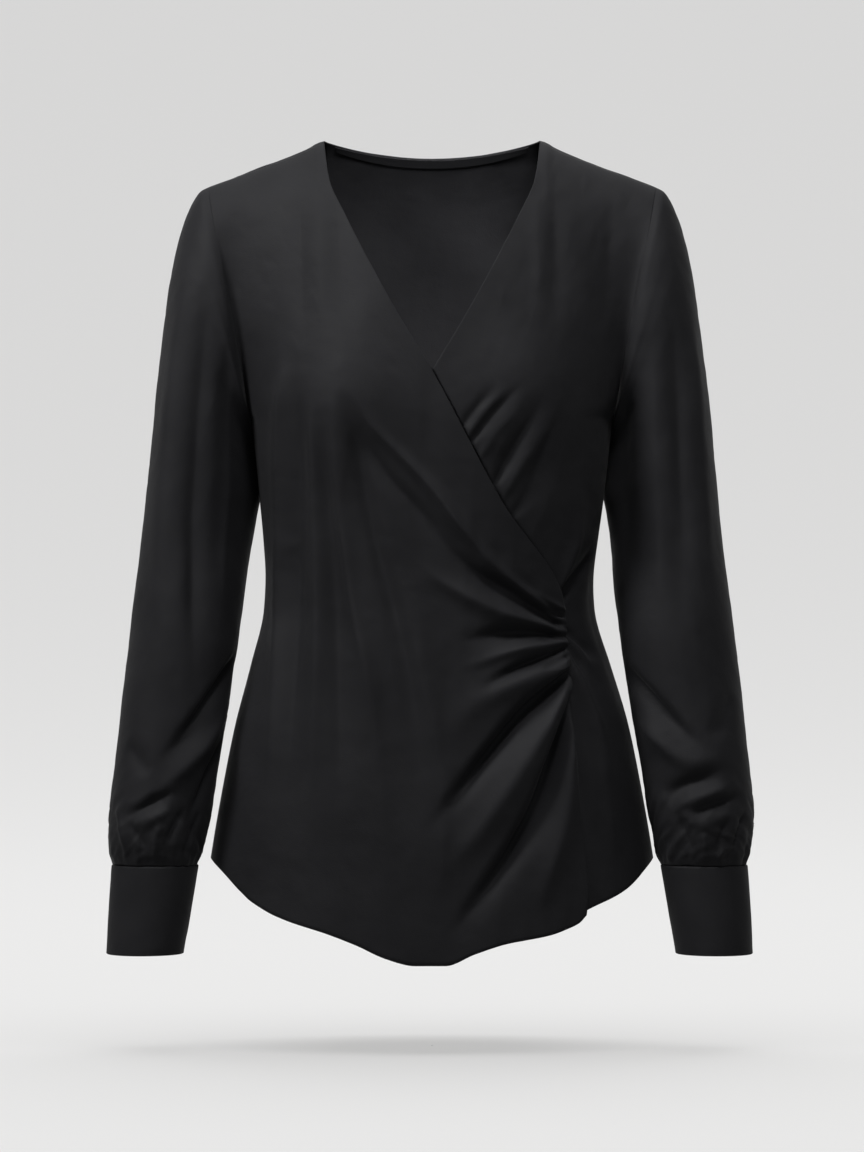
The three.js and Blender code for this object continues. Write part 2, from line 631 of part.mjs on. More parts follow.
// A cuff stands a little proud of the gathers above it.
function cuffGeometry(side) {
  const angles = Array.from({ length: sleeveShape.around }, (_, i) => (i / sleeveShape.around) * 2 * Math.PI);
  const inward = side > 0 ? leftSleeve.inward : 0;
  const [top, bottom] = cuffEnds;
  const grid = cuffTurns.map(({ t, flare }) =>
    angles.map((angle) =>
      ringPoint(
        {
          outX: lerp(top.outX, bottom.outX, t) - inward + flare,
          inX: lerp(top.inX, bottom.inX, t) - inward - flare,
          outDrop: lerp(top.drop, bottom.drop, t),
          inDrop: lerp(top.drop, bottom.drop, t),
          halfDepth: cuff.halfDepth + flare,
          midY: cuff.midY + cuff.backward * t,
        },
        side,
        angle,
      ),
    ),
  );
  return clothGeometry(grid, { thickness: cuffCloth, round: true, sign: side });
}

// Materials
const crepe = { color: 0x232325, roughness: 0.85, metalness: 0 };
const bindingCloth = { color: 0x1e1e20, roughness: 0.8, metalness: 0 };

function piece(name, geometry, finish) {
  const mesh = new THREE.Mesh(geometry, new THREE.MeshStandardMaterial(finish));
  mesh.name = name;
  return mesh;
}

const wrapTop = new THREE.Group();
wrapTop.add(
  piece("front_right", overWrapGeometry(), crepe),
  piece("front_left", underWrapGeometry(), crepe),
  piece("back", backGeometry(), crepe),
  piece("neck_binding", bindingGeometry(), bindingCloth),
);
[-1, 1].forEach((side) => {
  const wearersSide = side < 0 ? "right" : "left";
  wrapTop.add(
    piece("sleeve_" + wearersSide, sleeveGeometry(side), crepe),
    piece("cuff_" + wearersSide, cuffGeometry(side), crepe),
  );
});

export default wrapTop;
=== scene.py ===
# A black crepe wrap top with long sleeves, hollow and filled out as worn, over a pale studio floor.
# Sizes are in millimetres until a mesh is made; the camera, the lamps and the studio are in metres.
# A drop is a distance below the high shoulder points.
import math

import bpy
import numpy as np
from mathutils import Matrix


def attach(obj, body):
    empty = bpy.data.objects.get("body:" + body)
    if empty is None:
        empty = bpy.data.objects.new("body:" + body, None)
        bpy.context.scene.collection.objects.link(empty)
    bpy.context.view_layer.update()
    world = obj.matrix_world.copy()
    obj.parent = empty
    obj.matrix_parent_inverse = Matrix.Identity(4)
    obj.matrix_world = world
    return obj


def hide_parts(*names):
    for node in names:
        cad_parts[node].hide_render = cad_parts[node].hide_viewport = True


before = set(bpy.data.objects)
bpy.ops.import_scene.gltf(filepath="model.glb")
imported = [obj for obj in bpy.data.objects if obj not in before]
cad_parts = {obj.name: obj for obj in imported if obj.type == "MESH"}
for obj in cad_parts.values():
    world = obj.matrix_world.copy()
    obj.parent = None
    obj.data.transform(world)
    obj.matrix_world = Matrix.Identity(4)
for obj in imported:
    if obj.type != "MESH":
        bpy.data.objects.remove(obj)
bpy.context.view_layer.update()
print("frame loaded:", ", ".join(sorted(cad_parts)))

# Camera: straight on from the front, at the height of the waist
cameraSetting = {"distance": 4.2, "height": -0.363, "frameHeight": 0.9619, "sensor": 36.0}


def makeCamera(setting):
    data = bpy.data.cameras.new("frontCamera")
    data.sensor_fit = "VERTICAL"
    data.sensor_height = setting["sensor"]
    data.sensor_width = setting["sensor"]
    data.lens = setting["sensor"] * setting["distance"] / setting["frameHeight"]
    data.clip_end = 60
    camera = bpy.data.objects.new("frontCamera", data)
    camera.location = (0, -setting["distance"], setting["height"])
    camera.rotation_euler = (math.pi / 2, 0, 0)
    bpy.context.collection.objects.link(camera)
    bpy.context.scene.camera = camera


makeCamera(cameraSetting)


# Meshes and small tools
def table(names, *rows):
    # columns of a table by name, each an array
    return dict(zip(names.split(), np.array(rows, float).T))


def smooth(value, low, high):
    # 0 below low, 1 above high and an eased cubic between them
    t = np.clip((value - low) / (high - low), 0, 1)
    return t * t * (3 - 2 * t)


def bell(distance, width):
    # exp of minus the square of distance over width
    return np.exp(-((distance / width) ** 2))


def lerp(a, b, t):
    return a + (b - a) * t


def curveOf(at, value):
    # a curve through the rows that never swings past them: cubic pieces, each slope at a row the
    # harmonic mean of the rises before and after it, or 0 where they differ in sign
    rise = np.diff(value) / np.diff(at)
    before = np.concatenate([rise[:1], rise])
    after = np.concatenate([rise, rise[-1:]])
    product = before * after
    total = np.where(before + after == 0, 1, before + after)
    slope = np.where(product <= 0, 0, 2 * product / total)

    def read(wanted):
        x = np.clip(wanted, at[0], at[-1])
        k = np.clip(np.searchsorted(at, x, side="right") - 1, 0, len(at) - 2)
        span = at[k + 1] - at[k]
        t = (x - at[k]) / span
        low = value[k] * (1 + 2 * t) * (1 - t) ** 2 + slope[k] * span * t * (1 - t) ** 2
        return low + value[k + 1] * t * t * (3 - 2 * t) - slope[k + 1] * span * t * t * (1 - t)

    return read


def splineOf(path, count):
    # a Catmull-Rom curve through the points of a path, its ends doubled
    points = np.array(path, float)
    held = np.concatenate([points[:1], points, points[-1:]])
    place = np.linspace(0, len(points) - 1, count + 1)
    k = np.minimum(place.astype(int), len(points) - 2)
    t = (place - k)[:, None]
    a, b, c, d = held[k], held[k + 1], held[k + 2], held[k + 3]
    return 0.5 * (2 * b + (c - a) * t + (2 * a - 5 * b + 4 * c - d) * t**2 + (3 * b - a - 3 * c + d) * t**3)


def unit(vector):
    return vector / np.maximum(np.linalg.norm(vector, axis=-1, keepdims=True), 1e-9)


# How a fold runs along its path, in shares of the path, the height and the width
foldRun = {
    "steps": 20,
    "power": 1.7,
    "heldHeight": 0.35,
    "heldTo": 0.16,
    "heldWidth": 0.45,
    "widensTo": 0.35,
    "risesTo": 0.3,
    "sinksOver": 0.45,
    "waver": 0.12,
    "waves": 11,
}


def foldHeight(folds, across, down):
    # sum of the folds at each place: height times exp(-(distance / width) ** power) from the fold's
    # path. A lean over 0 steepens the side on the path's right. A held fold starts narrow and low for
    # a short way, as at a gathered seam; the others rise and sink along their paths.
    steps = foldRun["steps"]
    total = np.zeros(np.broadcast(across, down).shape)
    for height, width, held, lean, path in folds:
        points = splineOf(path, steps)
        nearest = np.full(total.shape, np.inf)
        along = np.zeros(total.shape)
        turned = np.zeros(total.shape)
        for i in range(steps):
            a, span = points[i], points[i + 1] - points[i]
            t = np.clip(((across - a[0]) * span[0] + (down - a[1]) * span[1]) / (span @ span), 0, 1)
            dx, dy = across - a[0] - span[0] * t, down - a[1] - span[1] * t
            distance = np.hypot(dx, dy)
            closer = distance < nearest
            nearest = np.where(closer, distance, nearest)
            along = np.where(closer, (i + t) / steps, along)
            turned = np.where(closer, np.sign(span[0] * dy - span[1] * dx), turned)
        if held:
            start = lerp(foldRun["heldHeight"], 1, smooth(along, 0, foldRun["heldTo"]))
            spread = width * lerp(foldRun["heldWidth"], 1, smooth(along, 0, foldRun["widensTo"]))
        else:
            start = smooth(along, 0, foldRun["risesTo"])
            spread = width
        waver = foldRun["waver"] * np.sin(foldRun["waves"] * along + 3 * height)
        spread = spread * (1 - lean * turned) * (1 + waver)
        profile = np.exp(-((nearest / spread) ** foldRun["power"]))
        total += height * profile * start * smooth(1 - along, 0, foldRun["sinksOver"])
    return total


def unevenness(across, down, seed, wave, stretch=1):
    # mean of eight sines of random slant and phase, each bent by the one before it; stretch makes
    # them longer downwards
    rng = np.random.default_rng(seed)
    bend, total = 0, 0
    for _ in range(8):
        slant = rng.uniform(0, 2 * np.pi)
        length = wave * rng.uniform(0.6, 1.7)
        phase = rng.uniform(0, 6.28)
        run = across * np.cos(slant) + down * np.sin(slant) / stretch
        bend = np.sin(run * 2 * np.pi / length + phase + 1.2 * bend)
        total = total + bend
    return total / 8


def swells(setting, across, down):
    # unevenness by a row of height, seed, wave and, for some, stretch
    return setting[0] * unevenness(across, down, *setting[1:])


def gridNormals(grid, closed, sign):
    # cross product of the steps across and down at each point of a grid
    if closed:
        across = np.roll(grid, -1, 1) - np.roll(grid, 1, 1)
    else:
        padded = np.concatenate([grid[:, :1], grid, grid[:, -1:]], 1)
        across = padded[:, 2:] - padded[:, :-2]
    padded = np.concatenate([grid[:1], grid, grid[-1:]])
    down = padded[2:] - padded[:-2]
    normal = np.cross(across, down)
    return sign * normal / np.maximum(np.linalg.norm(normal, axis=2, keepdims=True), 1e-9)


def seamDistance(grid, axis, fromEnd):
    # length along the grid from its first or last line
    steps = np.linalg.norm(np.diff(grid, axis=axis), axis=2)
    if fromEnd:
        steps = np.flip(steps, axis)
    reach = np.cumsum(steps, axis)
    zero = np.zeros_like(np.take(reach, [0], axis))
    reach = np.concatenate([zero, reach], axis)
    return np.flip(reach, axis) if fromEnd else reach


def turnedIn(grid, sign, closed, **edges):
    # adds two lines past each named edge, as a seam's allowance of that depth: the grid's line moved
    # inward along the normals by a fifth of the depth and by all of it. Light can't pass between two
    # such seams.
    for edge, depth in edges.items():
        level = edge in ("top", "bottom")
        normals = gridNormals(grid, closed, sign)
        lines, normals = (grid, normals) if level else (np.swapaxes(grid, 0, 1), np.swapaxes(normals, 0, 1))
        depth = np.broadcast_to(depth, lines.shape[1])[:, None]
        first = edge in ("top", "left")
        line, normal = (lines[0], normals[0]) if first else (lines[-1], normals[-1])
        near, far = line - normal * depth / 5, line - normal * depth
        lines = np.concatenate([[far, near], lines] if first else [lines, [near, far]])
        grid = lines if level else np.swapaxes(lines, 0, 1)
    return grid


rimBulge = 0.35  # of a wall's thickness, past its border


def wallParts(grid, thickness, sign, closed, gap):
    # A wall from its outer face: the inner face lies one thickness inward along the normals, and a
    # round rim joins them, its middle line past the border by the bulge.
    rows, columns = grid.shape[:2]
    bulge = rimBulge * thickness
    outer = grid.copy()
    outer[0] += unit(grid[1] - grid[0]) * (gap + bulge)
    outer[-1] += unit(grid[-2] - grid[-1]) * (gap + bulge)
    if not closed:
        outer[:, 0] += unit(grid[:, 1] - grid[:, 0]) * (gap + bulge)
        outer[:, -1] += unit(grid[:, -2] - grid[:, -1]) * (gap + bulge)
    inner = outer - gridNormals(outer, closed, sign) * thickness
    base = rows * columns
    number = np.arange(base).reshape(rows, columns)
    if closed:
        number = np.concatenate([number, number[:, :1]], 1)
        loops = [(number[0], number[1]), (number[-1][::-1], number[-2][::-1])]
    else:
        border = [number[0, :-1], number[:-1, -1], number[-1, :0:-1], number[:0:-1, 0]]
        within = [number[1, :-1], number[:-1, -2], number[-2, :0:-1], number[:0:-1, 1]]
        border, within = np.concatenate(border), np.concatenate(within)
        within[0] = number[1, 1]
        within[columns - 1] = number[1, -2]
        within[columns + rows - 2] = number[-2, -2]
        within[2 * columns + rows - 3] = number[-2, 1]
        loops = [(np.append(border, border[0]), np.append(within, within[0]))]
    cells = np.stack([number[:-1, :-1], number[:-1, 1:], number[1:, 1:], number[1:, :-1]], -1).reshape(-1, 4)
    quads = [cells, cells[:, ::-1] + base]
    flatOuter, flatInner = outer.reshape(-1, 3), inner.reshape(-1, 3)
    points = [flatOuter, flatInner]
    first = 2 * base
    for edge, inside in loops:
        middle = (flatOuter[edge] + flatInner[edge]) / 2 + unit(flatOuter[edge] - flatOuter[inside]) * bulge
        count = len(edge) - 1
        points.append(middle[:-1])
        ring = first + np.append(np.arange(count), 0)
        quads.append(np.stack([edge[1:], edge[:-1], ring[:-1], ring[1:]], -1))
        quads.append(np.stack([ring[1:], ring[:-1], edge[:-1] + base, edge[1:] + base], -1))
        first += count
    quads = np.concatenate(quads)
    return np.concatenate(points), quads if sign > 0 else quads[:, ::-1]


def makePiece(name, points, quads, material):
    # puts whole arrays of points and four-cornered faces into a mesh, in metres
    mesh = bpy.data.meshes.new(name)
    mesh.vertices.add(len(points))
    mesh.vertices.foreach_set("co", (points / 1000).astype(np.float32).ravel())
    mesh.loops.add(quads.size)
    mesh.loops.foreach_set("vertex_index", quads.astype(np.int32).ravel())
    mesh.polygons.add(len(quads))
    mesh.polygons.foreach_set("loop_start", np.arange(0, quads.size, 4, dtype=np.int32))
    mesh.update(calc_edges=True)
    mesh.polygons.foreach_set("use_smooth", np.ones(len(quads), bool))
    mesh.materials.append(material)
    piece = bpy.data.objects.new(name, mesh)
    bpy.context.collection.objects.link(piece)
    print(name, "made:", 2 * len(quads), "triangles")
    return piece


# Cloth
crepe = {
    "dark": (0.0034, 0.0034, 0.0038),
    "light": (0.0050, 0.0050, 0.0055),
    "roughness": 0.62,
    "sheen": 0.012,
    "sheenRoughness": 0.4,
    "specular": 0.035,
    "wear": (-0.05, 0.07),  # how far the roughness goes under and over
    "wearScale": 240,
    "driftScale": 16,
    "grain": 1500,  # bumps to a metre, about
    "grainDepth": 0.00016,
    "grainStrength": 0.6,
    "crumple": 70,
    "crumpleDepth": 0.0009,
    "crumpleStrength": 0.5,
}
# painted shade: the neck binding is the same crepe made darker, as it lies in shade inside the back neck
bindingPaintedShade = 0.85


def crepeMaterial(name, setting, shade=1.0):
    # crepe's pebbled grain from cells and noise, over a faint crumple; the colour drifts a little
    material = bpy.data.materials.new(name)
    material.use_nodes = True
    nodes, links = material.node_tree.nodes, material.node_tree.links
    shader = nodes["Principled BSDF"]
    shader.inputs["Specular IOR Level"].default_value = setting["specular"]
    shader.inputs["Sheen Weight"].default_value = setting["sheen"]
    shader.inputs["Sheen Roughness"].default_value = setting["sheenRoughness"]
    place = nodes.new("ShaderNodeTexCoord")

    def noise(scale, detail, rough=0.55):
        node = nodes.new("ShaderNodeTexNoise")
        node.inputs["Scale"].default_value = scale
        node.inputs["Detail"].default_value = detail
        node.inputs["Roughness"].default_value = rough
        links.new(place.outputs["Object"], node.inputs["Vector"])
        return node

    drift = noise(setting["driftScale"], 3)
    ramp = nodes.new("ShaderNodeValToRGB")
    ramp.color_ramp.elements[0].position = 0.3
    ramp.color_ramp.elements[1].position = 0.7
    # a shade under 1 darkens both colours of the ramp, as painted shade
    ramp.color_ramp.elements[0].color = (*[c * shade for c in setting["dark"]], 1)
    ramp.color_ramp.elements[1].color = (*[c * shade for c in setting["light"]], 1)
    links.new(drift.outputs["Fac"], ramp.inputs["Fac"])
    links.new(ramp.outputs["Color"], shader.inputs["Base Color"])
    wear = nodes.new("ShaderNodeMapRange")
    wear.inputs["To Min"].default_value = setting["roughness"] + setting["wear"][0]
    wear.inputs["To Max"].default_value = setting["roughness"] + setting["wear"][1]
    links.new(noise(setting["wearScale"], 2).outputs["Fac"], wear.inputs["Value"])
    links.new(wear.outputs["Result"], shader.inputs["Roughness"])
    cells = nodes.new("ShaderNodeTexVoronoi")
    cells.inputs["Scale"].default_value = setting["grain"]
    links.new(place.outputs["Object"], cells.inputs["Vector"])
    pebbles = nodes.new("ShaderNodeBump")
    pebbles.inputs["Strength"].default_value = setting["grainStrength"]
    pebbles.inputs["Distance"].default_value = setting["grainDepth"]
    links.new(cells.outputs["Distance"], pebbles.inputs["Height"])
    crumple = nodes.new("ShaderNodeBump")
    crumple.inputs["Strength"].default_value = setting["crumpleStrength"]
    crumple.inputs["Distance"].default_value = setting["crumpleDepth"]
    links.new(noise(setting["crumple"], 4, 0.5).outputs["Fac"], crumple.inputs["Height"])
    links.new(pebbles.outputs["Normal"], crumple.inputs["Normal"])
    links.new(crumple.outputs["Normal"], shader.inputs["Normal"])
    return material


crepeCloth = crepeMaterial("blackCrepe", crepe)
# the binding's copy of the crepe, darkened as painted shade
bindingCloth = crepeMaterial("biasCrepePaintedShade", crepe, bindingPaintedShade)

# The body's form
body = {
    "cloth": 0.8,
    "visibleGap": 0.04,  # left at each side of a seam
    "allowance": 5,  # turned in along the seams
    "neckHalf": 90,
    "backNeckDrop": 10.8,
    "sideDrop": 598,
    "seamForward": 0.1,
    "frontStart": 0.1015,
    "levelLength": 320,
    "frontRoundness": 2.3,
    "backRoundness": 2.4,
    "ridgePower": 1 / 1.1,  # of a section on the shoulder
    "openPower": 1 / 2,  # and below the armholes
    "edgeFade": 4,  # how fast a section leaves the armhole's own oval
}
armhole = {"topX": 187, "topDrop": 38.6, "underX": 151, "underDrop": 231, "front": 46, "back": 54}
bust = {"height": 15, "apartHalf": 82, "drop": 214, "wide": 54, "tall": 62}
nip = {"depth": 4.5, "drop": 385, "tall": 60}
pinch = {"depth": 5, "x": 112, "drop": 413, "wide": 30, "tall": 36}
layer = {"lapped": -2.4, "gathered": -4.8, "hidden": -20, "ramp": 9}

shoulderLine = table(
    "x drop",
    (0, -26), (12, -25.7), (40, -19.5), (66, -9), (89, -0.5), (95, 1.2), (102, 5.4), (114, 10.9),
    (180, 35.9), (190, 39.7),
)
bodySections = table(
    "drop halfWidth front back",
    (200, 156.6, 104, 97),
    (231, 151, 104, 97),
    (262, 147.6, 103.4, 94),
    (300, 143.8, 101.5, 87),
    (335, 140.6, 99, 80),
    (363, 139, 97, 76),
    (390, 140.3, 96, 76),
    (437, 151.2, 97, 82),
    (488, 164.5, 98.5, 91),
    (538, 174.5, 99, 97),
    (588, 183.2, 99, 100),
    (650, 192, 98, 102),
    (700, 197, 97, 103),
)
wrapEdge = table(
    "drop x",
    (1.1, -90), (36, -84.5), (66, -71.3), (110, -49), (151, -26.4), (195, 0), (302, 57.2), (383, 109),
    (412, 112), (441, 114), (477, 115), (552, 121), (590, 126), (622, 129), (643, 127),
)
gather = {"top": 383, "bottom": 441, "end": 643}
hidden = {"edgeX": -76, "edgeDrop": 338, "bottom": 649}
frontHem = table(
    "x drop",
    (-184.6, 598), (-175, 607), (-150, 630), (-124, 644), (-87, 655.5), (-63, 664.5), (-38, 675.6),
    (-14, 681.4), (11, 681.4), (35, 672), (60, 664), (97, 657), (109, 653), (121, 647.5), (127, 641),
)
sideHem = table("x drop", (-80, 648), (20, 660), (100, 650), (131, 636), (160, 622), (184.6, 598))
backHem = table("x drop", (0, 664), (60, 659), (110, 644), (150, 623), (175, 605), (184.6, 598))

shoulderDrop = curveOf(shoulderLine["x"], shoulderLine["drop"])
halfWidthAt = curveOf(bodySections["drop"], bodySections["halfWidth"])
depthAt = {face: curveOf(bodySections["drop"], bodySections[face]) for face in ("front", "back")}
wrapEdgeX = curveOf(wrapEdge["drop"], wrapEdge["x"])
frontHemDrop = curveOf(frontHem["x"], frontHem["drop"])
sideHemDrop = curveOf(sideHem["x"], sideHem["drop"])
backHemDrop = curveOf(backHem["x"], backHem["drop"])


def dropOf(x, level):
    # level 0 on the shoulder line, 1 at the bottom of the armholes by way of 1 - cos, then steady
    top = shoulderDrop(np.abs(x))
    turned = top + (armhole["underDrop"] - top) * (1 - np.cos(np.minimum(level, 1) * np.pi / 2))
    return np.where(level > 1, armhole["underDrop"] + (level - 1) * body["levelLength"], turned)


def levelOf(x, drop):
    # the other way round: the level at a drop
    top, under = shoulderDrop(np.abs(x)), armhole["underDrop"]
    turned = np.arccos(np.clip(1 - (drop - top) / (under - top), -1, 1)) * 2 / np.pi
    return np.where(drop > under, 1 + (drop - under) / body["levelLength"], turned)


def edgeX(level, side):
    # half width: a line down the armhole, then the side seam, drawn in at the gathered side
    armholeX = lerp(armhole["topX"], armhole["underX"], 1 - np.cos(np.minimum(level, 1) * np.pi / 2))
    drop = dropOf(0 * level, level)
    drawn = np.where(side > 0, nip["depth"] * bell(drop - nip["drop"], nip["tall"]), 0)
    return np.where(level <= 1, armholeX, halfWidthAt(drop) - drawn)


def bodyPoint(x, level, face):
    # A section is a rounded oval: depth times (1 - reach ** roundness) ** power, with the power going
    # from the ridge's to the open one by the squared sine of the turn, blended with the armhole's own
    # oval near its edge.
    # A level under 0 lies past the ridge of the shoulder, on the other face.
    over = level < 0
    front = ~over if face == "front" else over
    level = np.abs(level)
    turn = np.minimum(level, 1) * np.pi / 2
    drop = dropOf(x, level)
    roundness = np.where(front, body["frontRoundness"], body["backRoundness"])
    reach = np.minimum(np.abs(x) / edgeX(level, np.sign(x)), 1)
    mounds = bell(x - bust["apartHalf"], bust["wide"]) + bell(x + bust["apartHalf"], bust["wide"])
    rises = np.where(front, bust["height"] * mounds, 0) * bell(drop - bust["drop"], bust["tall"])
    full = np.where(front, depthAt["front"](drop), depthAt["back"](drop)) + rises
    dimple = pinch["depth"] * bell(x - pinch["x"], pinch["wide"]) * bell(drop - pinch["drop"], pinch["tall"])
    openness = np.sin(turn) ** 2
    mix = (1 - reach**roundness) ** lerp(body["ridgePower"], body["openPower"], openness)
    edge = np.where(front, armhole["front"], armhole["back"])
    edge = edge * np.sqrt(np.maximum(0, 1 - (2 * np.cos(turn) - 1) ** 2))
    fromEdge = edge * (1 - mix) ** lerp(1, body["edgeFade"], openness)
    depth = fromEdge + full * np.sin(turn) * mix - np.where(front, dimple, 0) * mix
    return np.stack([x + 0 * depth, np.where(front, -depth, depth), -drop + 0 * depth], -1)


# Rows of a front on the armhole and side seam, from 0 to 1
breaks = {"underarm": 0.36, "gathersTop": 0.44, "gathersBottom": 0.7, "hemEase": 0.62, "hemPower": 1.4}


def rowSteps(upper, gathers, lower):
    return np.concatenate([
        np.linspace(0, breaks["gathersTop"], upper, endpoint=False),
        np.linspace(breaks["gathersTop"], breaks["gathersBottom"], gathers, endpoint=False),
        np.linspace(breaks["gathersBottom"], 1, lower + 1),
    ])


def outerLevel(v):
    underarm = breaks["underarm"]
    first = lerp(body["frontStart"] / (np.pi / 2), 1, v / underarm)
    below = lerp(1, levelOf(0, body["sideDrop"]), (v - underarm) / (1 - underarm))
    return np.where(v < underarm, first, below)


def frontGrid(side, rows, columns, innerDrop, innerX, hemDrop, lean):
    # Each row runs from the armhole or side seam to the inner edge; u is eased towards both ends, or
    # towards the seam alone, and the last rows ease into the hem by a power.
    u = np.linspace(0, 1, columns + 1)[None, :]
    rounded = lerp(1 - np.cos(u * np.pi / 2), (1 - np.cos(u * np.pi)) / 2, lean)

    def placed(v):
        level = outerLevel(v)
        s = lerp(u, rounded, smooth(level, 0.4, 1))
        drop = innerDrop(v)
        edge = innerX(drop)
        return lerp(side * edgeX(level, side), edge, s), lerp(level, levelOf(edge, drop), s)

    v = rowSteps(*rows)[:, None]
    x, level = placed(v)
    endX, endLevel = placed(np.ones((1, 1)))
    ease = np.maximum(0, (v - breaks["hemEase"]) / (1 - breaks["hemEase"])) ** breaks["hemPower"]
    return bodyPoint(x, level + (levelOf(endX, hemDrop(endX)) - endLevel) * ease, "front")


def overWrapDrop(v):
    # the inner edge's drop: down the neckline, along the gathered seam, then down the flap's edge
    top, bottom = breaks["gathersTop"], breaks["gathersBottom"]
    high = lerp(wrapEdge["drop"][0], gather["top"], v / top)
    middle = lerp(gather["top"], gather["bottom"], (v - top) / (bottom - top))
    low = lerp(gather["bottom"], gather["end"], (v - bottom) / (1 - bottom))
    return np.where(v < top, high, np.where(v < bottom, middle, low))


# At a seam the cloth is calm and dips a little
seam = {"dip": 0.15, "sideWidth": 2.4, "topWidth": 2.2, "cuffWidth": 2.0, "calmFor": 20, "none": 1e3}


def calmed(height, sides, top):
    # the height faded out by the distances from a side seam and a top seam
    calm = smooth(sides, 0, seam["calmFor"])
    return height * calm if top is None else height * calm * smooth(top, 0, seam["calmFor"])


def seamDip(sides, top):
    return seam["dip"] * (bell(sides, seam["sideWidth"]) + bell(top, seam["topWidth"]))


# Over-wrap
# Folds: height (troughs under 0), width, held at the gathered seam, lean, path of x and drop
overWrap = {
    "rows": (110, 70, 60),
    "columns": 150,
    "lean": 0.45,  # how far the columns gather at the inner edge too
    "drape": (0.9, 3, 60, 3.5),
    "drapeFrom": (60, 260),
    "ripple": (0.35, 4, 24),
    "folds": [
        # long folds from the bust to the gathers
        (4.4, 6, 1, 0.1, [(109, 401), (80, 379), (51, 354), (23, 322), (-2, 289), (-42, 248)]),
        (3.6, 4.5, 0, 0, [(40, 342), (23, 322), (-2, 289), (-32, 258), (-52, 236), (-68, 208)]),
        (-4.4, 7, 0, 0.2, [(20, 344), (-14, 306), (-44, 270), (-62, 238)]),
        (-2.6, 4.5, 1, 0, [(107, 395), (88, 379), (60, 355)]),
        (-8.0, 7, 1, 0.3, [(110, 404), (98, 397), (64, 375), (31, 356), (-10, 316)]),
        (5.2, 7.5, 1, 0, [(110, 408), (60, 394), (19, 374), (-14, 352)]),
        (-7.5, 7.5, 1, 0.25, [(111, 413), (84, 409), (54, 410), (20, 418)]),
        (5.2, 5.5, 1, 0, [(111, 417), (90, 419), (66, 424), (20, 440)]),
        (-9.5, 5.5, 1, 0.3, [(111, 422), (90, 430), (64, 441), (36, 458)]),
        (6.0, 12, 1, 0, [(112, 432), (96, 438), (44, 462), (8, 500)]),
        # two deep ones below, with broad panels between them
        (-15.5, 7.5, 1, 0.4, [(113, 439), (100, 452), (76, 473), (47, 506), (19, 542), (-4, 574)]),
        (9.0, 12, 1, 0.1, [(113, 451), (92, 489), (72, 522), (39, 571), (4, 614)]),
        (-15.5, 8, 1, 0.4, [(114, 462), (98, 513), (85, 550), (64, 587), (39, 624), (12, 664)]),
        (5.5, 10, 1, 0, [(116, 486), (110, 554), (97, 604), (82, 646)]),
        # the drape under the bust
        (5.4, 6.5, 0, 0, [(-118, 186), (-126, 230), (-126, 350), (-130, 460), (-140, 620)]),
        (-5.2, 8, 0, 0.2, [(-112, 200), (-110, 300), (-114, 440), (-124, 600)]),
        (5.0, 7.5, 0, 0, [(-100, 200), (-96, 290), (-94, 420), (-102, 600)]),
        (-5.4, 8.5, 0, 0.2, [(-92, 222), (-84, 320), (-78, 430), (-76, 600)]),
        (6.0, 8, 0, 0, [(-82, 204), (-78, 280), (-66, 375), (-48, 470), (-34, 620)]),
        (-6.4, 8.5, 0, 0.2, [(-74, 208), (-62, 260), (-46, 340), (-22, 430), (-6, 560)]),
        (4.4, 11, 0, 0, [(-30, 350), (-8, 440), (10, 540), (4, 660)]),
        (-1.6, 7, 0, 0, [(-110, 48), (-108, 110), (-104, 190)]),
        (-1.4, 8, 0, 0, [(-80, 40), (-74, 110), (-66, 190)]),
        (1.2, 8, 0, 0, [(-95, 40), (-91, 110), (-86, 190)]),
        # short pleats at the gathered seam
        (2.4, 3.2, 1, 0, [(110, 391), (92, 381), (74, 369)]),
        (-2.6, 2.8, 1, 0, [(110, 397), (94, 391), (78, 383)]),
        (2.6, 3.0, 1, 0, [(111, 425), (100, 427), (86, 434)]),
        (-3.4, 3.0, 1, 0, [(112, 429), (100, 434), (88, 442)]),
        (2.6, 3.0, 1, 0, [(113, 437), (104, 444), (94, 452)]),
        (-2.4, 3.0, 1, 0, [(114, 452), (106, 470), (98, 490)]),
    ],
}


def overWrapHeight(grid):
    x, drop = grid[..., 0], -grid[..., 2]
    height = foldHeight(overWrap["folds"], x, drop)
    height = height + swells(overWrap["drape"], x, drop) * smooth(drop, *overWrap["drapeFrom"])
    height = height + swells(overWrap["ripple"], x, drop)
    fromSeam = seamDistance(grid, 1, False)
    fromGathers = np.where(drop > gather["top"], seamDistance(grid, 1, True), seam["none"])
    fromShoulder = seamDistance(grid, 0, False)
    gathersDip = seam["dip"] * bell(fromGathers, seam["sideWidth"])
    return calmed(height, fromSeam, fromShoulder) - seamDip(fromSeam, fromShoulder) - gathersDip


def makeOverWrap():
    rows, columns, lean = overWrap["rows"], overWrap["columns"], overWrap["lean"]
    form = frontGrid(-1, rows, columns, overWrapDrop, wrapEdgeX, frontHemDrop, lean)
    folded = form + gridNormals(form, False, -1) * overWrapHeight(form)[..., None]
    folded = turnedIn(folded, -1, False, left=body["allowance"], top=body["allowance"])
    points, quads = wallParts(folded, body["cloth"], -1, False, body["visibleGap"])
    return makePiece("overWrap", points, quads, crepeCloth)


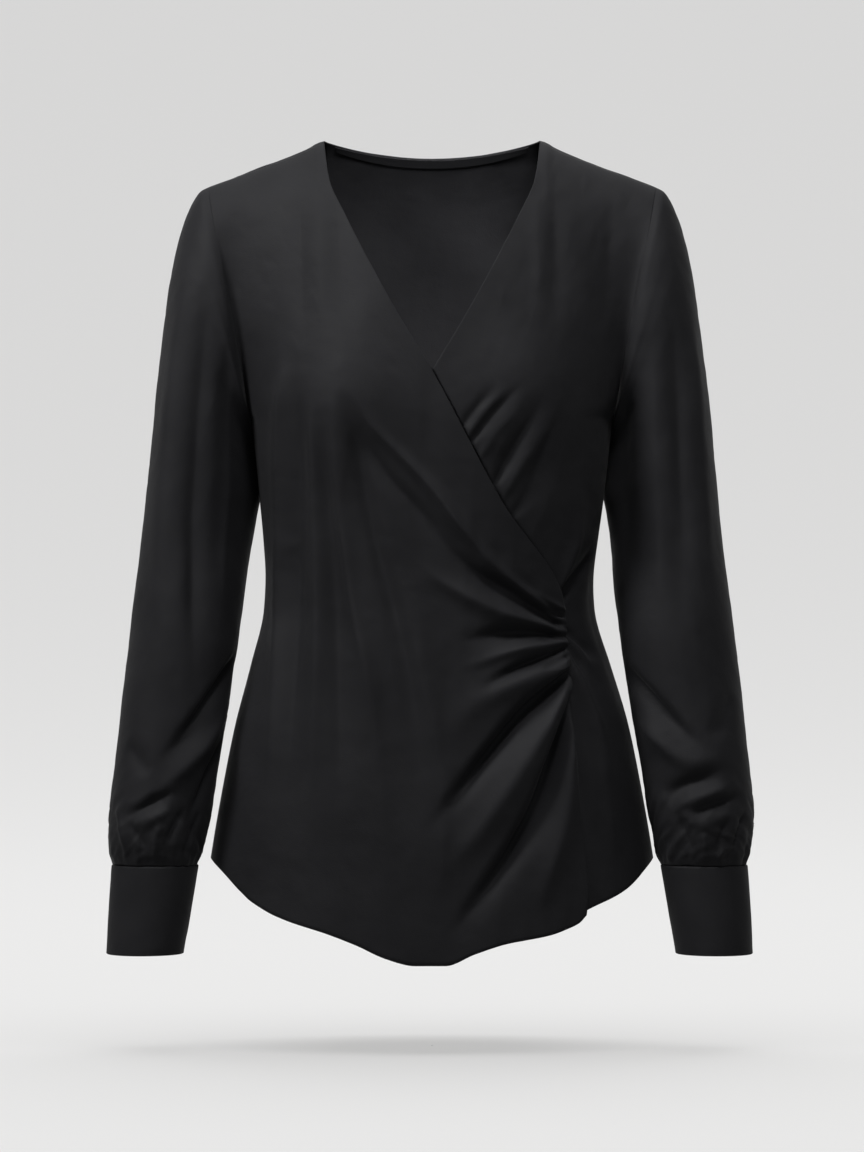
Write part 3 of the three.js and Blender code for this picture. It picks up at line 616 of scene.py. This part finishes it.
# Under-wrap
underWrap = {
    "rows": (100, 50, 50),
    "columns": 130,
    "drape": (0.7, 7, 55, 2.5),
    "ripple": (0.35, 8, 24),
    "lapFrom": (30, 150),
    "gathersBefore": 30,
    "gathersAfter": (30, 90),
    "shownFor": (4, 50),
    "edgeDropPower": 1.05,
    "folds": [
        # under the wrap's edge, from the bust
        (-2.4, 4, 1, 0, [(24, 242), (36, 226), (52, 208)]),
        (1.4, 4, 1, 0, [(28, 250), (46, 226), (62, 208)]),
        (-3.0, 4.4, 1, 0, [(31, 256), (43, 239), (58, 222), (78, 204)]),
        (1.6, 5, 1, 0, [(38, 268), (56, 242), (76, 220)]),
        (-5.0, 5.6, 1, 0.2, [(51, 292), (62, 270), (77, 244), (94, 214)]),
        (2.4, 6, 1, 0, [(58, 300), (74, 272), (92, 244), (106, 214)]),
        (-3.2, 6, 1, 0, [(66, 316), (80, 294), (93, 258), (106, 222)]),
        (1.6, 7, 0, 0, [(78, 340), (96, 300), (108, 262), (116, 220)]),
        (3.6, 4.5, 1, 0, [(107, 377), (114, 354), (121, 330), (124, 290)]),
        (-5.0, 4.5, 1, 0, [(109, 384), (117, 370), (129, 352), (138, 330)]),
        (-4.2, 4, 1, 0, [(112, 406), (122, 414), (134, 424), (144, 434)]),
        (3.2, 4, 1, 0, [(113, 412), (124, 424), (136, 440)]),
        (-3.6, 4, 1, 0, [(114, 418), (122, 430), (130, 448)]),
        (4.2, 5.5, 1, 0, [(115, 426), (128, 456), (141, 492), (152, 540)]),
        (-5.0, 6.5, 1, 0, [(115, 440), (120, 482), (125, 546), (132, 612)]),
        (3.0, 8, 0, 0, [(138, 500), (146, 550), (152, 606)]),
        (-1.8, 8, 0, 0, [(101, 44), (102, 110), (100, 168)]),
        (1.6, 8, 0, 0, [(86, 44), (88, 110), (88, 168)]),
        (-1.6, 8, 0, 0, [(150, 50), (146, 110), (140, 170)]),
    ],
}

shownEdge = wrapEdge["drop"] < 300
underEdgeX = curveOf(
    np.concatenate([wrapEdge["drop"][shownEdge], [hidden["edgeDrop"], hidden["bottom"]]]),
    np.concatenate([-wrapEdge["x"][shownEdge], [hidden["edgeX"], hidden["edgeX"]]]),
)


def underWrapHeight(grid):
    # lies under the over-wrap by the layer depths and comes up to the common form where it shows
    x, drop = grid[..., 0], -grid[..., 2]
    inside = wrapEdgeX(drop) - x
    sunk = smooth(inside, 0, layer["ramp"])
    after = [gather["bottom"] + reach for reach in underWrap["gathersAfter"]]
    nearGathers = smooth(drop, gather["top"] - underWrap["gathersBefore"], gather["top"])
    nearGathers = nearGathers * (1 - smooth(drop, *after))
    lapped = lerp(layer["lapped"] * smooth(drop, *underWrap["lapFrom"]), layer["gathered"], nearGathers)
    shown = lerp(lapped, lapped / 6, smooth(-inside, *underWrap["shownFor"]))
    folds = foldHeight(underWrap["folds"], x, drop) + swells(underWrap["drape"], x, drop)
    folds = folds + swells(underWrap["ripple"], x, drop)
    fromSeam = seamDistance(grid, 1, False)
    fromShoulder = seamDistance(grid, 0, False)
    height = lerp(shown + folds, layer["hidden"], sunk)
    return calmed(height, fromSeam, fromShoulder) - seamDip(fromSeam, fromShoulder)


def underWrapDrop(v):
    return lerp(wrapEdge["drop"][0], hidden["bottom"], v ** underWrap["edgeDropPower"])


def makeUnderWrap():
    rows, columns = underWrap["rows"], underWrap["columns"]
    form = frontGrid(1, rows, columns, underWrapDrop, underEdgeX, sideHemDrop, 0)
    folded = form + gridNormals(form, False, 1) * underWrapHeight(form)[..., None]
    folded = turnedIn(folded, 1, False, left=body["allowance"], top=body["allowance"])
    points, quads = wallParts(folded, body["cloth"], 1, False, body["visibleGap"])
    return makePiece("underWrap", points, quads, crepeCloth)


# Back
back = {
    "neckColumns": 26,
    "sideColumns": 44,
    "columnEase": 1.8,
    "rows": (84, 104),
    "neckAllowance": 0.8,
    "foldsFrom": (30, 90),
    "drape": (0.8, 11, 64, 3),
    "ripple": (0.3, 12, 24),
    "folds": [
        (-2.2, 14, 0, 0, [(-104, 70), (-98, 180), (-84, 330), (-78, 440)]),
        (2.0, 14, 0, 0, [(-70, 90), (-64, 220), (-56, 360), (-58, 470)]),
        (-1.8, 12, 0, 0, [(92, 80), (88, 200), (80, 340), (74, 430)]),
        (2.0, 14, 0, 0, [(62, 100), (60, 240), (50, 380), (52, 480)]),
        (-3.2, 10, 1, 0, [(140, 392), (104, 396), (52, 410)]),
        (2.8, 10, 1, 0, [(142, 404), (108, 416), (60, 440)]),
        (-3.2, 11, 1, 0, [(146, 418), (114, 444), (74, 494)]),
        (2.6, 12, 1, 0, [(150, 436), (124, 480), (100, 550)]),
        (-2.4, 10, 1, 0, [(138, 372), (104, 356), (60, 336)]),
        (-2.6, 12, 0, 0, [(-128, 330), (-92, 356), (-40, 362)]),
        (2.2, 12, 0, 0, [(-128, 366), (-88, 384), (-36, 388)]),
        (2.4, 16, 0, 0, [(-60, 440), (-66, 540), (-74, 650)]),
        (-2.4, 15, 0, 0, [(-20, 430), (-22, 540), (-26, 655)]),
        (2.4, 16, 0, 0, [(18, 440), (22, 540), (30, 655)]),
    ],
}


def backTopLevel(x):
    neck = levelOf(x, body["backNeckDrop"] * (1 - (x / body["neckHalf"]) ** 2) - 0.4)
    return np.where(np.abs(x) >= body["neckHalf"] - 0.01, -body["seamForward"] / (np.pi / 2), neck)


def backFractions(neckColumns, sideColumns):
    # columns keep to the ends of the neck and gather towards the side seams
    neck = body["neckHalf"] / armhole["topX"]
    inner = neck * np.sin(np.linspace(0, np.pi / 2, neckColumns, endpoint=False))
    outer = 1 - (1 - neck) * (1 - np.linspace(0, 1, sideColumns + 1)) ** back["columnEase"]
    half = np.concatenate([inner, outer])
    return np.concatenate([-half[:0:-1], half])[None, :]


def backGrid(v, fraction):
    # v is 0 at the top edge, 1 at the bottom of the armholes and 2 at the hem
    v = v[:, None]
    start = -body["seamForward"] / (np.pi / 2)
    end = levelOf(0, body["sideDrop"])
    bottom = levelOf(0, backHemDrop(np.abs(fraction * edgeX(end + 0 * fraction, fraction))))
    level = np.where(v < 1, lerp(backTopLevel(fraction * armhole["topX"]), 1, v), lerp(1, bottom, v - 1))
    sideLevel = np.where(v < 1, lerp(start, 1, v), lerp(1, end, v - 1))
    return bodyPoint(fraction * edgeX(np.abs(sideLevel) + 0 * fraction, fraction), level, "back")


def makeBack():
    upper, lower = back["rows"]
    v = np.concatenate([np.linspace(0, 1, upper, endpoint=False), np.linspace(1, 2, lower + 1)])
    form = backGrid(v, backFractions(back["neckColumns"], back["sideColumns"]))
    x, drop = form[..., 0], -form[..., 2]
    height = foldHeight(back["folds"], x, drop) * smooth(drop, *back["foldsFrom"])
    height = height + swells(back["drape"], x, drop) + swells(back["ripple"], x, drop)
    sides = np.minimum(seamDistance(form, 1, False), seamDistance(form, 1, True))
    top = np.where(np.abs(x) > body["neckHalf"], seamDistance(form, 0, False), seam["none"])
    height = calmed(height, sides, None) - seamDip(sides, top)
    folded = form + gridNormals(form, False, 1) * height[..., None]
    folded = turnedIn(folded, 1, False, left=body["allowance"], right=body["allowance"])
    onShoulder = np.abs(folded[0, :, 0]) > body["neckHalf"]
    topDepth = np.where(onShoulder, body["allowance"], back["neckAllowance"])
    folded = turnedIn(folded, 1, False, top=topDepth)
    points, quads = wallParts(folded, body["cloth"], 1, False, body["visibleGap"])
    return makePiece("backPanel", points, quads, crepeCloth)


# Neck binding: a turned strip along the inside of the back neck
binding = {
    "thickness": 0.9,
    "rows": 8,
    "columns": 96,
    "depth": 0.055,  # a share of the way down to the armholes
    "clear": 1.0,
    "trimmed": 0.3,
    "shortOfNeck": 8,
}


def makeBinding():
    v = np.linspace(0, binding["depth"], binding["rows"])
    reach = (body["neckHalf"] - binding["shortOfNeck"]) / armhole["topX"]
    fraction = np.linspace(-reach, reach, binding["columns"] + 1)[None, :]
    form = backGrid(v, fraction)
    strip = form - gridNormals(form, False, 1) * (body["cloth"] + binding["clear"])
    points, quads = wallParts(strip, binding["thickness"], 1, False, binding["trimmed"])
    return makePiece("neckBinding", points, quads, bindingCloth)


# Sleeves
sleeveSections = table(
    "outX outDrop inX inDrop halfDepth midY",
    (187.2, 38.6, 151.4, 231.1, 50, 4),
    (193.4, 42.2, 150.9, 234.3, 53, 4),
    (199, 50, 150.1, 238, 55, 4),
    (205.4, 64, 149.2, 243, 57, 4),
    (212.6, 87, 148.2, 250, 58, 3),
    (218.4, 116, 146.8, 259, 58, 2),
    (223.4, 152, 145.0, 270, 57, 1),
    (228.8, 196, 143.9, 282, 55.5, 0),
    (234, 248, 143.6, 295, 54, -2),
    (238.8, 298, 146.6, 312, 52.5, -4),
    (243.8, 348, 152.4, 348, 51, -7),
    (248.8, 388, 157, 386, 50.5, -10),
    (253.6, 428, 162, 424, 50, -13),
    (258, 464, 167.4, 460, 49, -16),
    (261.4, 498, 173, 494, 48, -19),
    (264.6, 528, 178.6, 526, 46, -22),
    (266.6, 553, 183, 553, 44, -24),
    (267.2, 574, 187.6, 574, 41.5, -25),
    (266.4, 589, 190.8, 589, 37.5, -26),
    (265, 602, 194.2, 602, 33, -27),
)
# Under the arm the inner line goes back behind the body's side, between these rows of the table
underarmShift = {"backward": 20, "power": 2, "from": (2, 6), "to": (9, 12)}
# The wearer's left sleeve hangs closer
leftSleeve = {"inward": 4, "innerFrom": (320, 380), "outerFrom": (550, 600)}
station = np.arange(len(sleeveSections["outX"]), dtype=float)
sleeveReads = {name: curveOf(station, column) for name, column in sleeveSections.items()}

# Folds of a sleeve: the path's first number is the turn in degrees, 0 on the outer line, 90 in front,
# 180 inside and 270 behind; the second is the drop
sleeve = {
    "around": 150,
    "along": 190,
    "evenFrom": 4,
    "foldsFrom": (2, 5),  # rows of the table
    "foldsEnd": 1.5,
    "radius": 49,  # for lengths round the sleeve
    "drape": (0.8, 23, 60, 3),
    "ripple": (0.35, 27, 24),
    "crush": (1, 35, 30),
    "crushHeight": 3.4,
    "crushFrom": (520, 570),
    "crushTo": (592, 602),
    "cuffAllowance": 3,
    "foldsRight": [
        (-7.0, 13, 0, 0.3, [(80, 90), (80, 200), (84, 300), (94, 364), (106, 424), (120, 470)]),
        (5.0, 14, 0, 0, [(48, 90), (50, 220), (54, 330), (70, 440)]),
        (-8.0, 20, 0, 0.3, [(116, 100), (118, 200), (122, 300), (132, 430)]),
        (3.4, 8, 0, 0, [(118, 150), (124, 290), (134, 410)]),
        (-8.5, 8, 0, 0.35, [(180, 424), (158, 441), (136, 461), (118, 482), (100, 502), (80, 518)]),
        (4.8, 8, 0, 0, [(176, 462), (137, 502), (106, 527), (82, 546)]),
        (-5.6, 6.5, 0, 0.2, [(176, 494), (152, 523), (138, 548), (120, 568)]),
        (-5.0, 4.6, 0, 0.2, [(104, 541), (78, 550), (50, 563)]),
        (-3.4, 8, 0, 0, [(40, 500), (60, 516), (78, 526)]),
        (2.8, 5, 0, 0, [(108, 554), (86, 562), (60, 574)]),
        (-2.8, 3.6, 0, 0, [(122, 552), (110, 570), (100, 590)]),
        (-2.8, 3.6, 0, 0, [(54, 566), (72, 578), (80, 596)]),
        (2.4, 3.6, 0, 0, [(96, 566), (90, 580), (92, 600)]),
        (-2.6, 3.4, 0, 0, [(146, 554), (136, 574), (128, 596)]),
        (2.4, 4, 0, 0, [(34, 550), (46, 572), (54, 594)]),
        (-7, 11, 0, 0, [(184, 430), (234, 462), (270, 500)]),
        (4.6, 10, 0, 0, [(188, 474), (240, 500), (290, 536)]),
    ],
    "foldsLeft": [
        (-4.0, 9, 0, 0.1, [(60, 120), (68, 240), (76, 330), (92, 420)]),
        (3.2, 10, 0, 0, [(88, 160), (96, 300), (106, 410)]),
        (-7.0, 16, 0, -0.2, [(132, 110), (136, 200), (138, 320), (144, 440)]),
        (2.8, 10, 0, 0, [(36, 130), (42, 260), (50, 400)]),
        (-7.5, 7.5, 0, 0.3, [(168, 436), (135, 460), (108, 483), (80, 506)]),
        (4.4, 8, 0, 0, [(160, 478), (128, 500), (98, 516), (60, 508)]),
        (-6.0, 6, 0, 0.2, [(136, 546), (110, 535), (84, 528), (54, 520)]),
        (3.4, 5.5, 0, 0, [(122, 554), (98, 547), (72, 540), (42, 532)]),
        (-5.2, 5, 0, 0.2, [(104, 560), (86, 552), (60, 547), (32, 543)]),
        (-3.2, 8, 0, 0, [(36, 460), (56, 484), (78, 496)]),
        (2.8, 5, 0, 0, [(112, 566), (86, 566), (60, 560)]),
        (-2.8, 3.6, 0, 0, [(122, 556), (112, 574), (104, 594)]),
        (-2.6, 3.6, 0, 0, [(60, 560), (72, 576), (78, 596)]),
        (2.4, 3.6, 0, 0, [(94, 572), (90, 584), (92, 600)]),
        (-2.6, 3.6, 0, 0, [(36, 556), (48, 574), (54, 596)]),
        (-7, 11, 0, 0, [(188, 436), (234, 462), (270, 500)]),
        (4.6, 10, 0, 0, [(192, 478), (240, 500), (290, 536)]),
    ],
    "foldsBehindBoth": [
        (-2.4, 13, 0, 0, [(290, 130), (284, 240), (276, 380)]),
        (3.0, 13, 0, 0, [(246, 180), (250, 300), (256, 400)]),
        (-4.6, 7, 0, 0, [(206, 536), (250, 560)]),
        (-4.6, 7, 0, 0, [(286, 556), (330, 548)]),
        (-2.6, 4, 0, 0, [(230, 560), (246, 576), (252, 598)]),
        (2.6, 4.5, 0, 0, [(262, 552), (274, 572), (276, 598)]),
    ],
}


def ringPoint(ring, side, angle):
    # an oval across the line from the outer to the inner side, its depth front to back by the sine;
    # what goes behind the body goes back by a power of the share of the way inward
    share = (1 - np.cos(angle)) / 2
    x = lerp(ring["outX"], ring["inX"], share)
    drop = lerp(ring["outDrop"], ring["inDrop"], share)
    y = ring["midY"] - ring["halfDepth"] * np.sin(angle)
    y = y + ring["behind"] * share ** underarmShift["power"]
    return np.stack([side * x, y, -drop], -1)


def armholePoint(side, angle):
    # the body's edge at an angle of the ring: 1 - cos(turn) equals (1 - cos(angle)) / 2
    level = np.arccos(1 - (1 - np.cos(angle)) / 2) * 2 / np.pi
    x = side * edgeX(level, side)
    before, behind = bodyPoint(x, level, "front"), bodyPoint(x, level, "back")
    return np.where(np.sin(angle)[..., None] > 0, before, behind)


def sleeveForm(side):
    angle = np.linspace(0, 2 * np.pi, sleeve["around"], endpoint=False)[None, :]
    place = np.linspace(0, station[-1], sleeve["along"])[:, None]
    ring = {name: read(place) for name, read in sleeveReads.items()}
    goesBack = smooth(place, *underarmShift["from"]) * (1 - smooth(place, *underarmShift["to"]))
    ring["behind"] = underarmShift["backward"] * goesBack
    if side > 0:
        inward = leftSleeve["inward"]
        ring["inX"] = ring["inX"] - inward * smooth(ring["inDrop"], *leftSleeve["innerFrom"])
        ring["outX"] = ring["outX"] - inward * smooth(ring["outDrop"], *leftSleeve["outerFrom"])
    form = ringPoint(ring, side, angle)
    drawn = 1 - smooth(place, 0, sleeve["evenFrom"])
    return form + (armholePoint(side, angle) - form[:1]) * drawn[..., None], angle, place


# Pleats let into a cuff; the ranges are drawn from at random
pleat = {
    "count": 26,
    "stray": (-0.09, 0.09),
    "height": (-1.6, 1.9),
    "length": (12, 34),
    "slant": (-0.004, 0.004),
    "width": (2.2, 3.6),
    "radius": 36,
    "seam": 602,
    "seeds": {-1: 21, 1: 22},
}


def cuffPleats(angle, drop, seed):
    # uneven pleats: bells round the sleeve at random turns, heights and lengths
    rng = np.random.default_rng(seed)
    total = np.zeros(np.broadcast(angle, drop).shape)
    above = pleat["seam"] - drop
    for turn in np.linspace(0, 2 * np.pi, pleat["count"], endpoint=False):
        turn = turn + rng.uniform(*pleat["stray"])
        height, length = rng.uniform(*pleat["height"]), rng.uniform(*pleat["length"])
        slant, width = rng.uniform(*pleat["slant"]), rng.uniform(*pleat["width"])
        distance = (angle - turn - slant * above + np.pi) % (2 * np.pi) - np.pi
        fade = smooth(above, length + 10, 2) * lerp(0.5, 1, smooth(above, 0, 8))
        total += height * bell(distance * pleat["radius"], width) * fade
    return total


def sleeveSwells(setting, angle, drop, side, reach, offset=0):
    # unevenness that closes round the sleeve, because it is read on a slanted ring
    height, seed, *rest = setting
    across = np.cos(angle) * 45 + offset
    return height * unevenness(across, drop + reach * np.sin(angle), seed + side, *rest)


def makeSleeve(side, name, folds):
    form, angle, place = sleeveForm(side)
    drop = -form[..., 2]
    around = angle * sleeve["radius"]
    paths = []
    for *shape, path in folds + sleeve["foldsBehindBoth"]:
        paths.append((*shape, [(math.radians(turn) * sleeve["radius"], down) for turn, down in path]))
    height = foldHeight(paths, around, drop)
    height = height + foldHeight(paths, around + 2 * np.pi * sleeve["radius"], drop)
    toCuff = smooth(station[-1] - place, 0, sleeve["foldsEnd"])
    height = height * smooth(place, *sleeve["foldsFrom"]) * toCuff
    height = height + cuffPleats(angle, drop, pleat["seeds"][side])
    wide = sleeveSwells(sleeve["drape"], angle, drop, side, 30)
    small = sleeveSwells(sleeve["ripple"], angle, drop, side, 45, 9)
    crushed = 0.5 - np.abs(sleeveSwells(sleeve["crush"], angle, drop, side, 45))
    crushed = crushed * smooth(drop, *sleeve["crushFrom"]) * (1 - smooth(drop, *sleeve["crushTo"]))
    height = height + (wide + small) * smooth(place, 0, 3) + sleeve["crushHeight"] * crushed
    top = bell(seamDistance(form, 0, False), seam["sideWidth"])
    bottom = bell(seamDistance(form, 0, True), seam["cuffWidth"])
    height = height - seam["dip"] * (top + bottom)
    folded = form + gridNormals(form, True, side) * height[..., None]
    folded = turnedIn(folded, side, True, top=body["allowance"], bottom=sleeve["cuffAllowance"])
    points, quads = wallParts(folded, body["cloth"], side, True, body["visibleGap"])
    return makePiece(name, points, quads, crepeCloth)


# Cuffs; the sides' and the drop's pairs are at the top and at the bottom
cuff = {
    "outX": (265, 270),
    "inX": (194.2, 206),
    "drop": (602.1, 676),
    "midY": (-27, -30),
    "halfDepth": 32.5,
    "thickness": 1.8,
    "rows": 44,
    "ripple": (0.55, 31, 46, 1.4),
}
cuffTurns = table("t flare", (0, 0.5), (0.03, 0.8), (0.08, 0.8), (0.5, 0.7), (1, 0))
cuffFlare = curveOf(cuffTurns["t"], cuffTurns["flare"])


def makeCuff(side, name):
    angle = np.linspace(0, 2 * np.pi, sleeve["around"], endpoint=False)[None, :]
    t = np.linspace(0, 1, cuff["rows"])[:, None]
    flare = cuffFlare(t)
    inward = leftSleeve["inward"] if side > 0 else 0
    drop = lerp(*cuff["drop"], t)
    ring = {
        "outX": lerp(*cuff["outX"], t) - inward + flare,
        "inX": lerp(*cuff["inX"], t) - inward - flare,
        "outDrop": drop,
        "inDrop": drop,
        "halfDepth": cuff["halfDepth"] + flare,
        "midY": lerp(*cuff["midY"], t),
        "behind": 0,
    }
    form = ringPoint(ring, side, angle)
    across, down = np.cos(angle) * 34, drop + 34 * np.sin(angle)
    strength, seed, *rest = cuff["ripple"]
    height = strength * unevenness(across, down, seed + side, *rest)
    height = height * smooth(t, 0, 0.2) * smooth(1 - t, 0, 0.1)
    folded = form + gridNormals(form, True, side) * height[..., None]
    points, quads = wallParts(folded, cuff["thickness"], side, True, body["visibleGap"])
    return makePiece(name, points, quads, crepeCloth)


# All pieces, each with the size that it is cut to
overWrapPiece = makeOverWrap()
underWrapPiece = makeUnderWrap()
backPiece = makeBack()
bindingPiece = makeBinding()
sleeveRightPiece = makeSleeve(-1, "sleeveRight", sleeve["foldsRight"])
sleeveLeftPiece = makeSleeve(1, "sleeveLeft", sleeve["foldsLeft"])
cuffRightPiece = makeCuff(-1, "cuffRight")
cuffLeftPiece = makeCuff(1, "cuffLeft")

cuts = [  # piece, node, slot, width and length in metres, area in square metres, how it is held
    (overWrapPiece, "front_right", "crepe", (0.40, 0.70), 0.170, "gathered"),
    (underWrapPiece, "front_left", "crepe", (0.36, 0.68), 0.150, "draped"),
    (backPiece, "back", "crepe", (0.44, 0.68), 0.252, "draped"),
    (bindingPiece, "neck_binding", "binding", (0.17, 0.010), 0.0014, "stretched"),
    (sleeveRightPiece, "sleeve_right", "crepe", (0.36, 0.60), 0.142, "gathered"),
    (sleeveLeftPiece, "sleeve_left", "crepe", (0.36, 0.60), 0.142, "gathered"),
    (cuffRightPiece, "cuff_right", "crepe", (0.22, 0.075), 0.0155, "stretched"),
    (cuffLeftPiece, "cuff_left", "crepe", (0.22, 0.075), 0.0155, "stretched"),
]
for piece, node, slotName, flat, area, held in cuts:
    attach(piece, "root")
    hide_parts(node)
print("pieces placed:", len(cuts))

# Studio
studio = {
    "floor": -0.755,
    "flatRadius": 2.0,
    "rimRadius": 8.4,
    "rise": 4.0,
    "bend": 3.0,  # the higher, the tighter the curve up to the wall
    "paper": (0.30, 0.30, 0.30),
    "glow": (0.45, 0.448, 0.445),  # a little of the paper's brightness is its own
    "sky": 0.2,
}


def makeStudio(setting):
    # a round floor that curves up into a wall: height = rise * (1 - (1 - t ** bend) ** (1 / bend)) for
    # t from 0 at the flat part's edge to 1 at the rim, turned through a full circle
    bend = setting["bend"]
    t = np.sin(np.linspace(0, np.pi / 2, 40))
    radius = np.concatenate([[0.001, 1], lerp(setting["flatRadius"], setting["rimRadius"], t)])
    height = np.concatenate([[0, 0], setting["rise"] * (1 - (1 - t**bend) ** (1 / bend))])
    height = height + setting["floor"]
    turn = np.linspace(0, 2 * np.pi, 96, endpoint=False)
    across, along = radius[:, None] * np.cos(turn), radius[:, None] * np.sin(turn)
    grid = np.stack([across, along, height[:, None] + 0 * turn], -1)
    rows, columns = grid.shape[:2]
    number = np.arange(rows * columns).reshape(rows, columns)
    number = np.concatenate([number, number[:, :1]], 1)
    quads = np.stack([number[:-1, :-1], number[1:, :-1], number[1:, 1:], number[:-1, 1:]], -1)
    paper = bpy.data.materials.new("studioPaper")
    paper.use_nodes = True
    shader = paper.node_tree.nodes["Principled BSDF"]
    shader.inputs["Base Color"].default_value = (*setting["paper"], 1)
    shader.inputs["Roughness"].default_value = 0.9
    shader.inputs["Specular IOR Level"].default_value = 0.2
    shader.inputs["Emission Color"].default_value = (*setting["glow"], 1)
    shader.inputs["Emission Strength"].default_value = 1
    floor = makePiece("studioFloor", grid.reshape(-1, 3) * 1000, quads.reshape(-1, 4), paper)
    world = bpy.data.worlds.new("studioSky")
    world.use_nodes = True
    world.node_tree.nodes["Background"].inputs["Color"].default_value = (1, 1, 1, 1)
    world.node_tree.nodes["Background"].inputs["Strength"].default_value = setting["sky"]
    bpy.context.scene.world = world


# Soft boxes: place, aim, size, power, spread in degrees and what they light
softBoxes = {
    "keyLeft": ((-1.3, -0.95, 1.0), (-0.03, 0, -0.12), 0.5, 31, 100, "cloth"),
    "keyTop": ((0.25, -1.1, 1.7), (0.1, 0, -0.08), 0.4, 7.5, 50, "cloth"),
    "fillFront": ((1.6, -5.0, 0.4), (0, 0, -0.3), 1.6, 30, 180, "cloth"),
    "intoNeck": ((0.3, -1.6, 0.9), (0, 0, -0.1), 0.6, 120, 180, "back"),
    "ceiling": ((0, 1.0, 4.6), (0, 1.0, 0), 7.0, 420, 180, "all"),
}


def makeSoftBox(name, place, aim, size, power, spread, lit, groups):
    # a lamp that lights the cloth alone leaves the paper even
    data = bpy.data.lights.new(name, "AREA")
    data.shape = "SQUARE"
    data.size = size
    data.energy = power
    data.spread = math.radians(spread)
    lamp = bpy.data.objects.new(name, data)
    lamp.location = place
    toAim = np.array(aim, float) - np.array(place, float)
    lamp.rotation_euler = (math.atan2(np.hypot(*toAim[:2]), -toAim[2]), 0, math.atan2(-toAim[0], toAim[1]))
    bpy.context.collection.objects.link(lamp)
    if lit in groups:
        lamp.light_linking.receiver_collection = groups[lit]


makeStudio(studio)
litPieces = {"cloth": [row[0] for row in cuts], "back": [backPiece, bindingPiece]}
litGroups = {}
for group, pieces in litPieces.items():
    litGroups[group] = bpy.data.collections.new(group + "Lit")
    for piece in pieces:
        litGroups[group].objects.link(piece)
for name, setting in softBoxes.items():
    makeSoftBox(name, *setting, litGroups)
bpy.context.scene.view_settings.view_transform = "Standard"
print("studio lit by", len(softBoxes), "soft boxes")
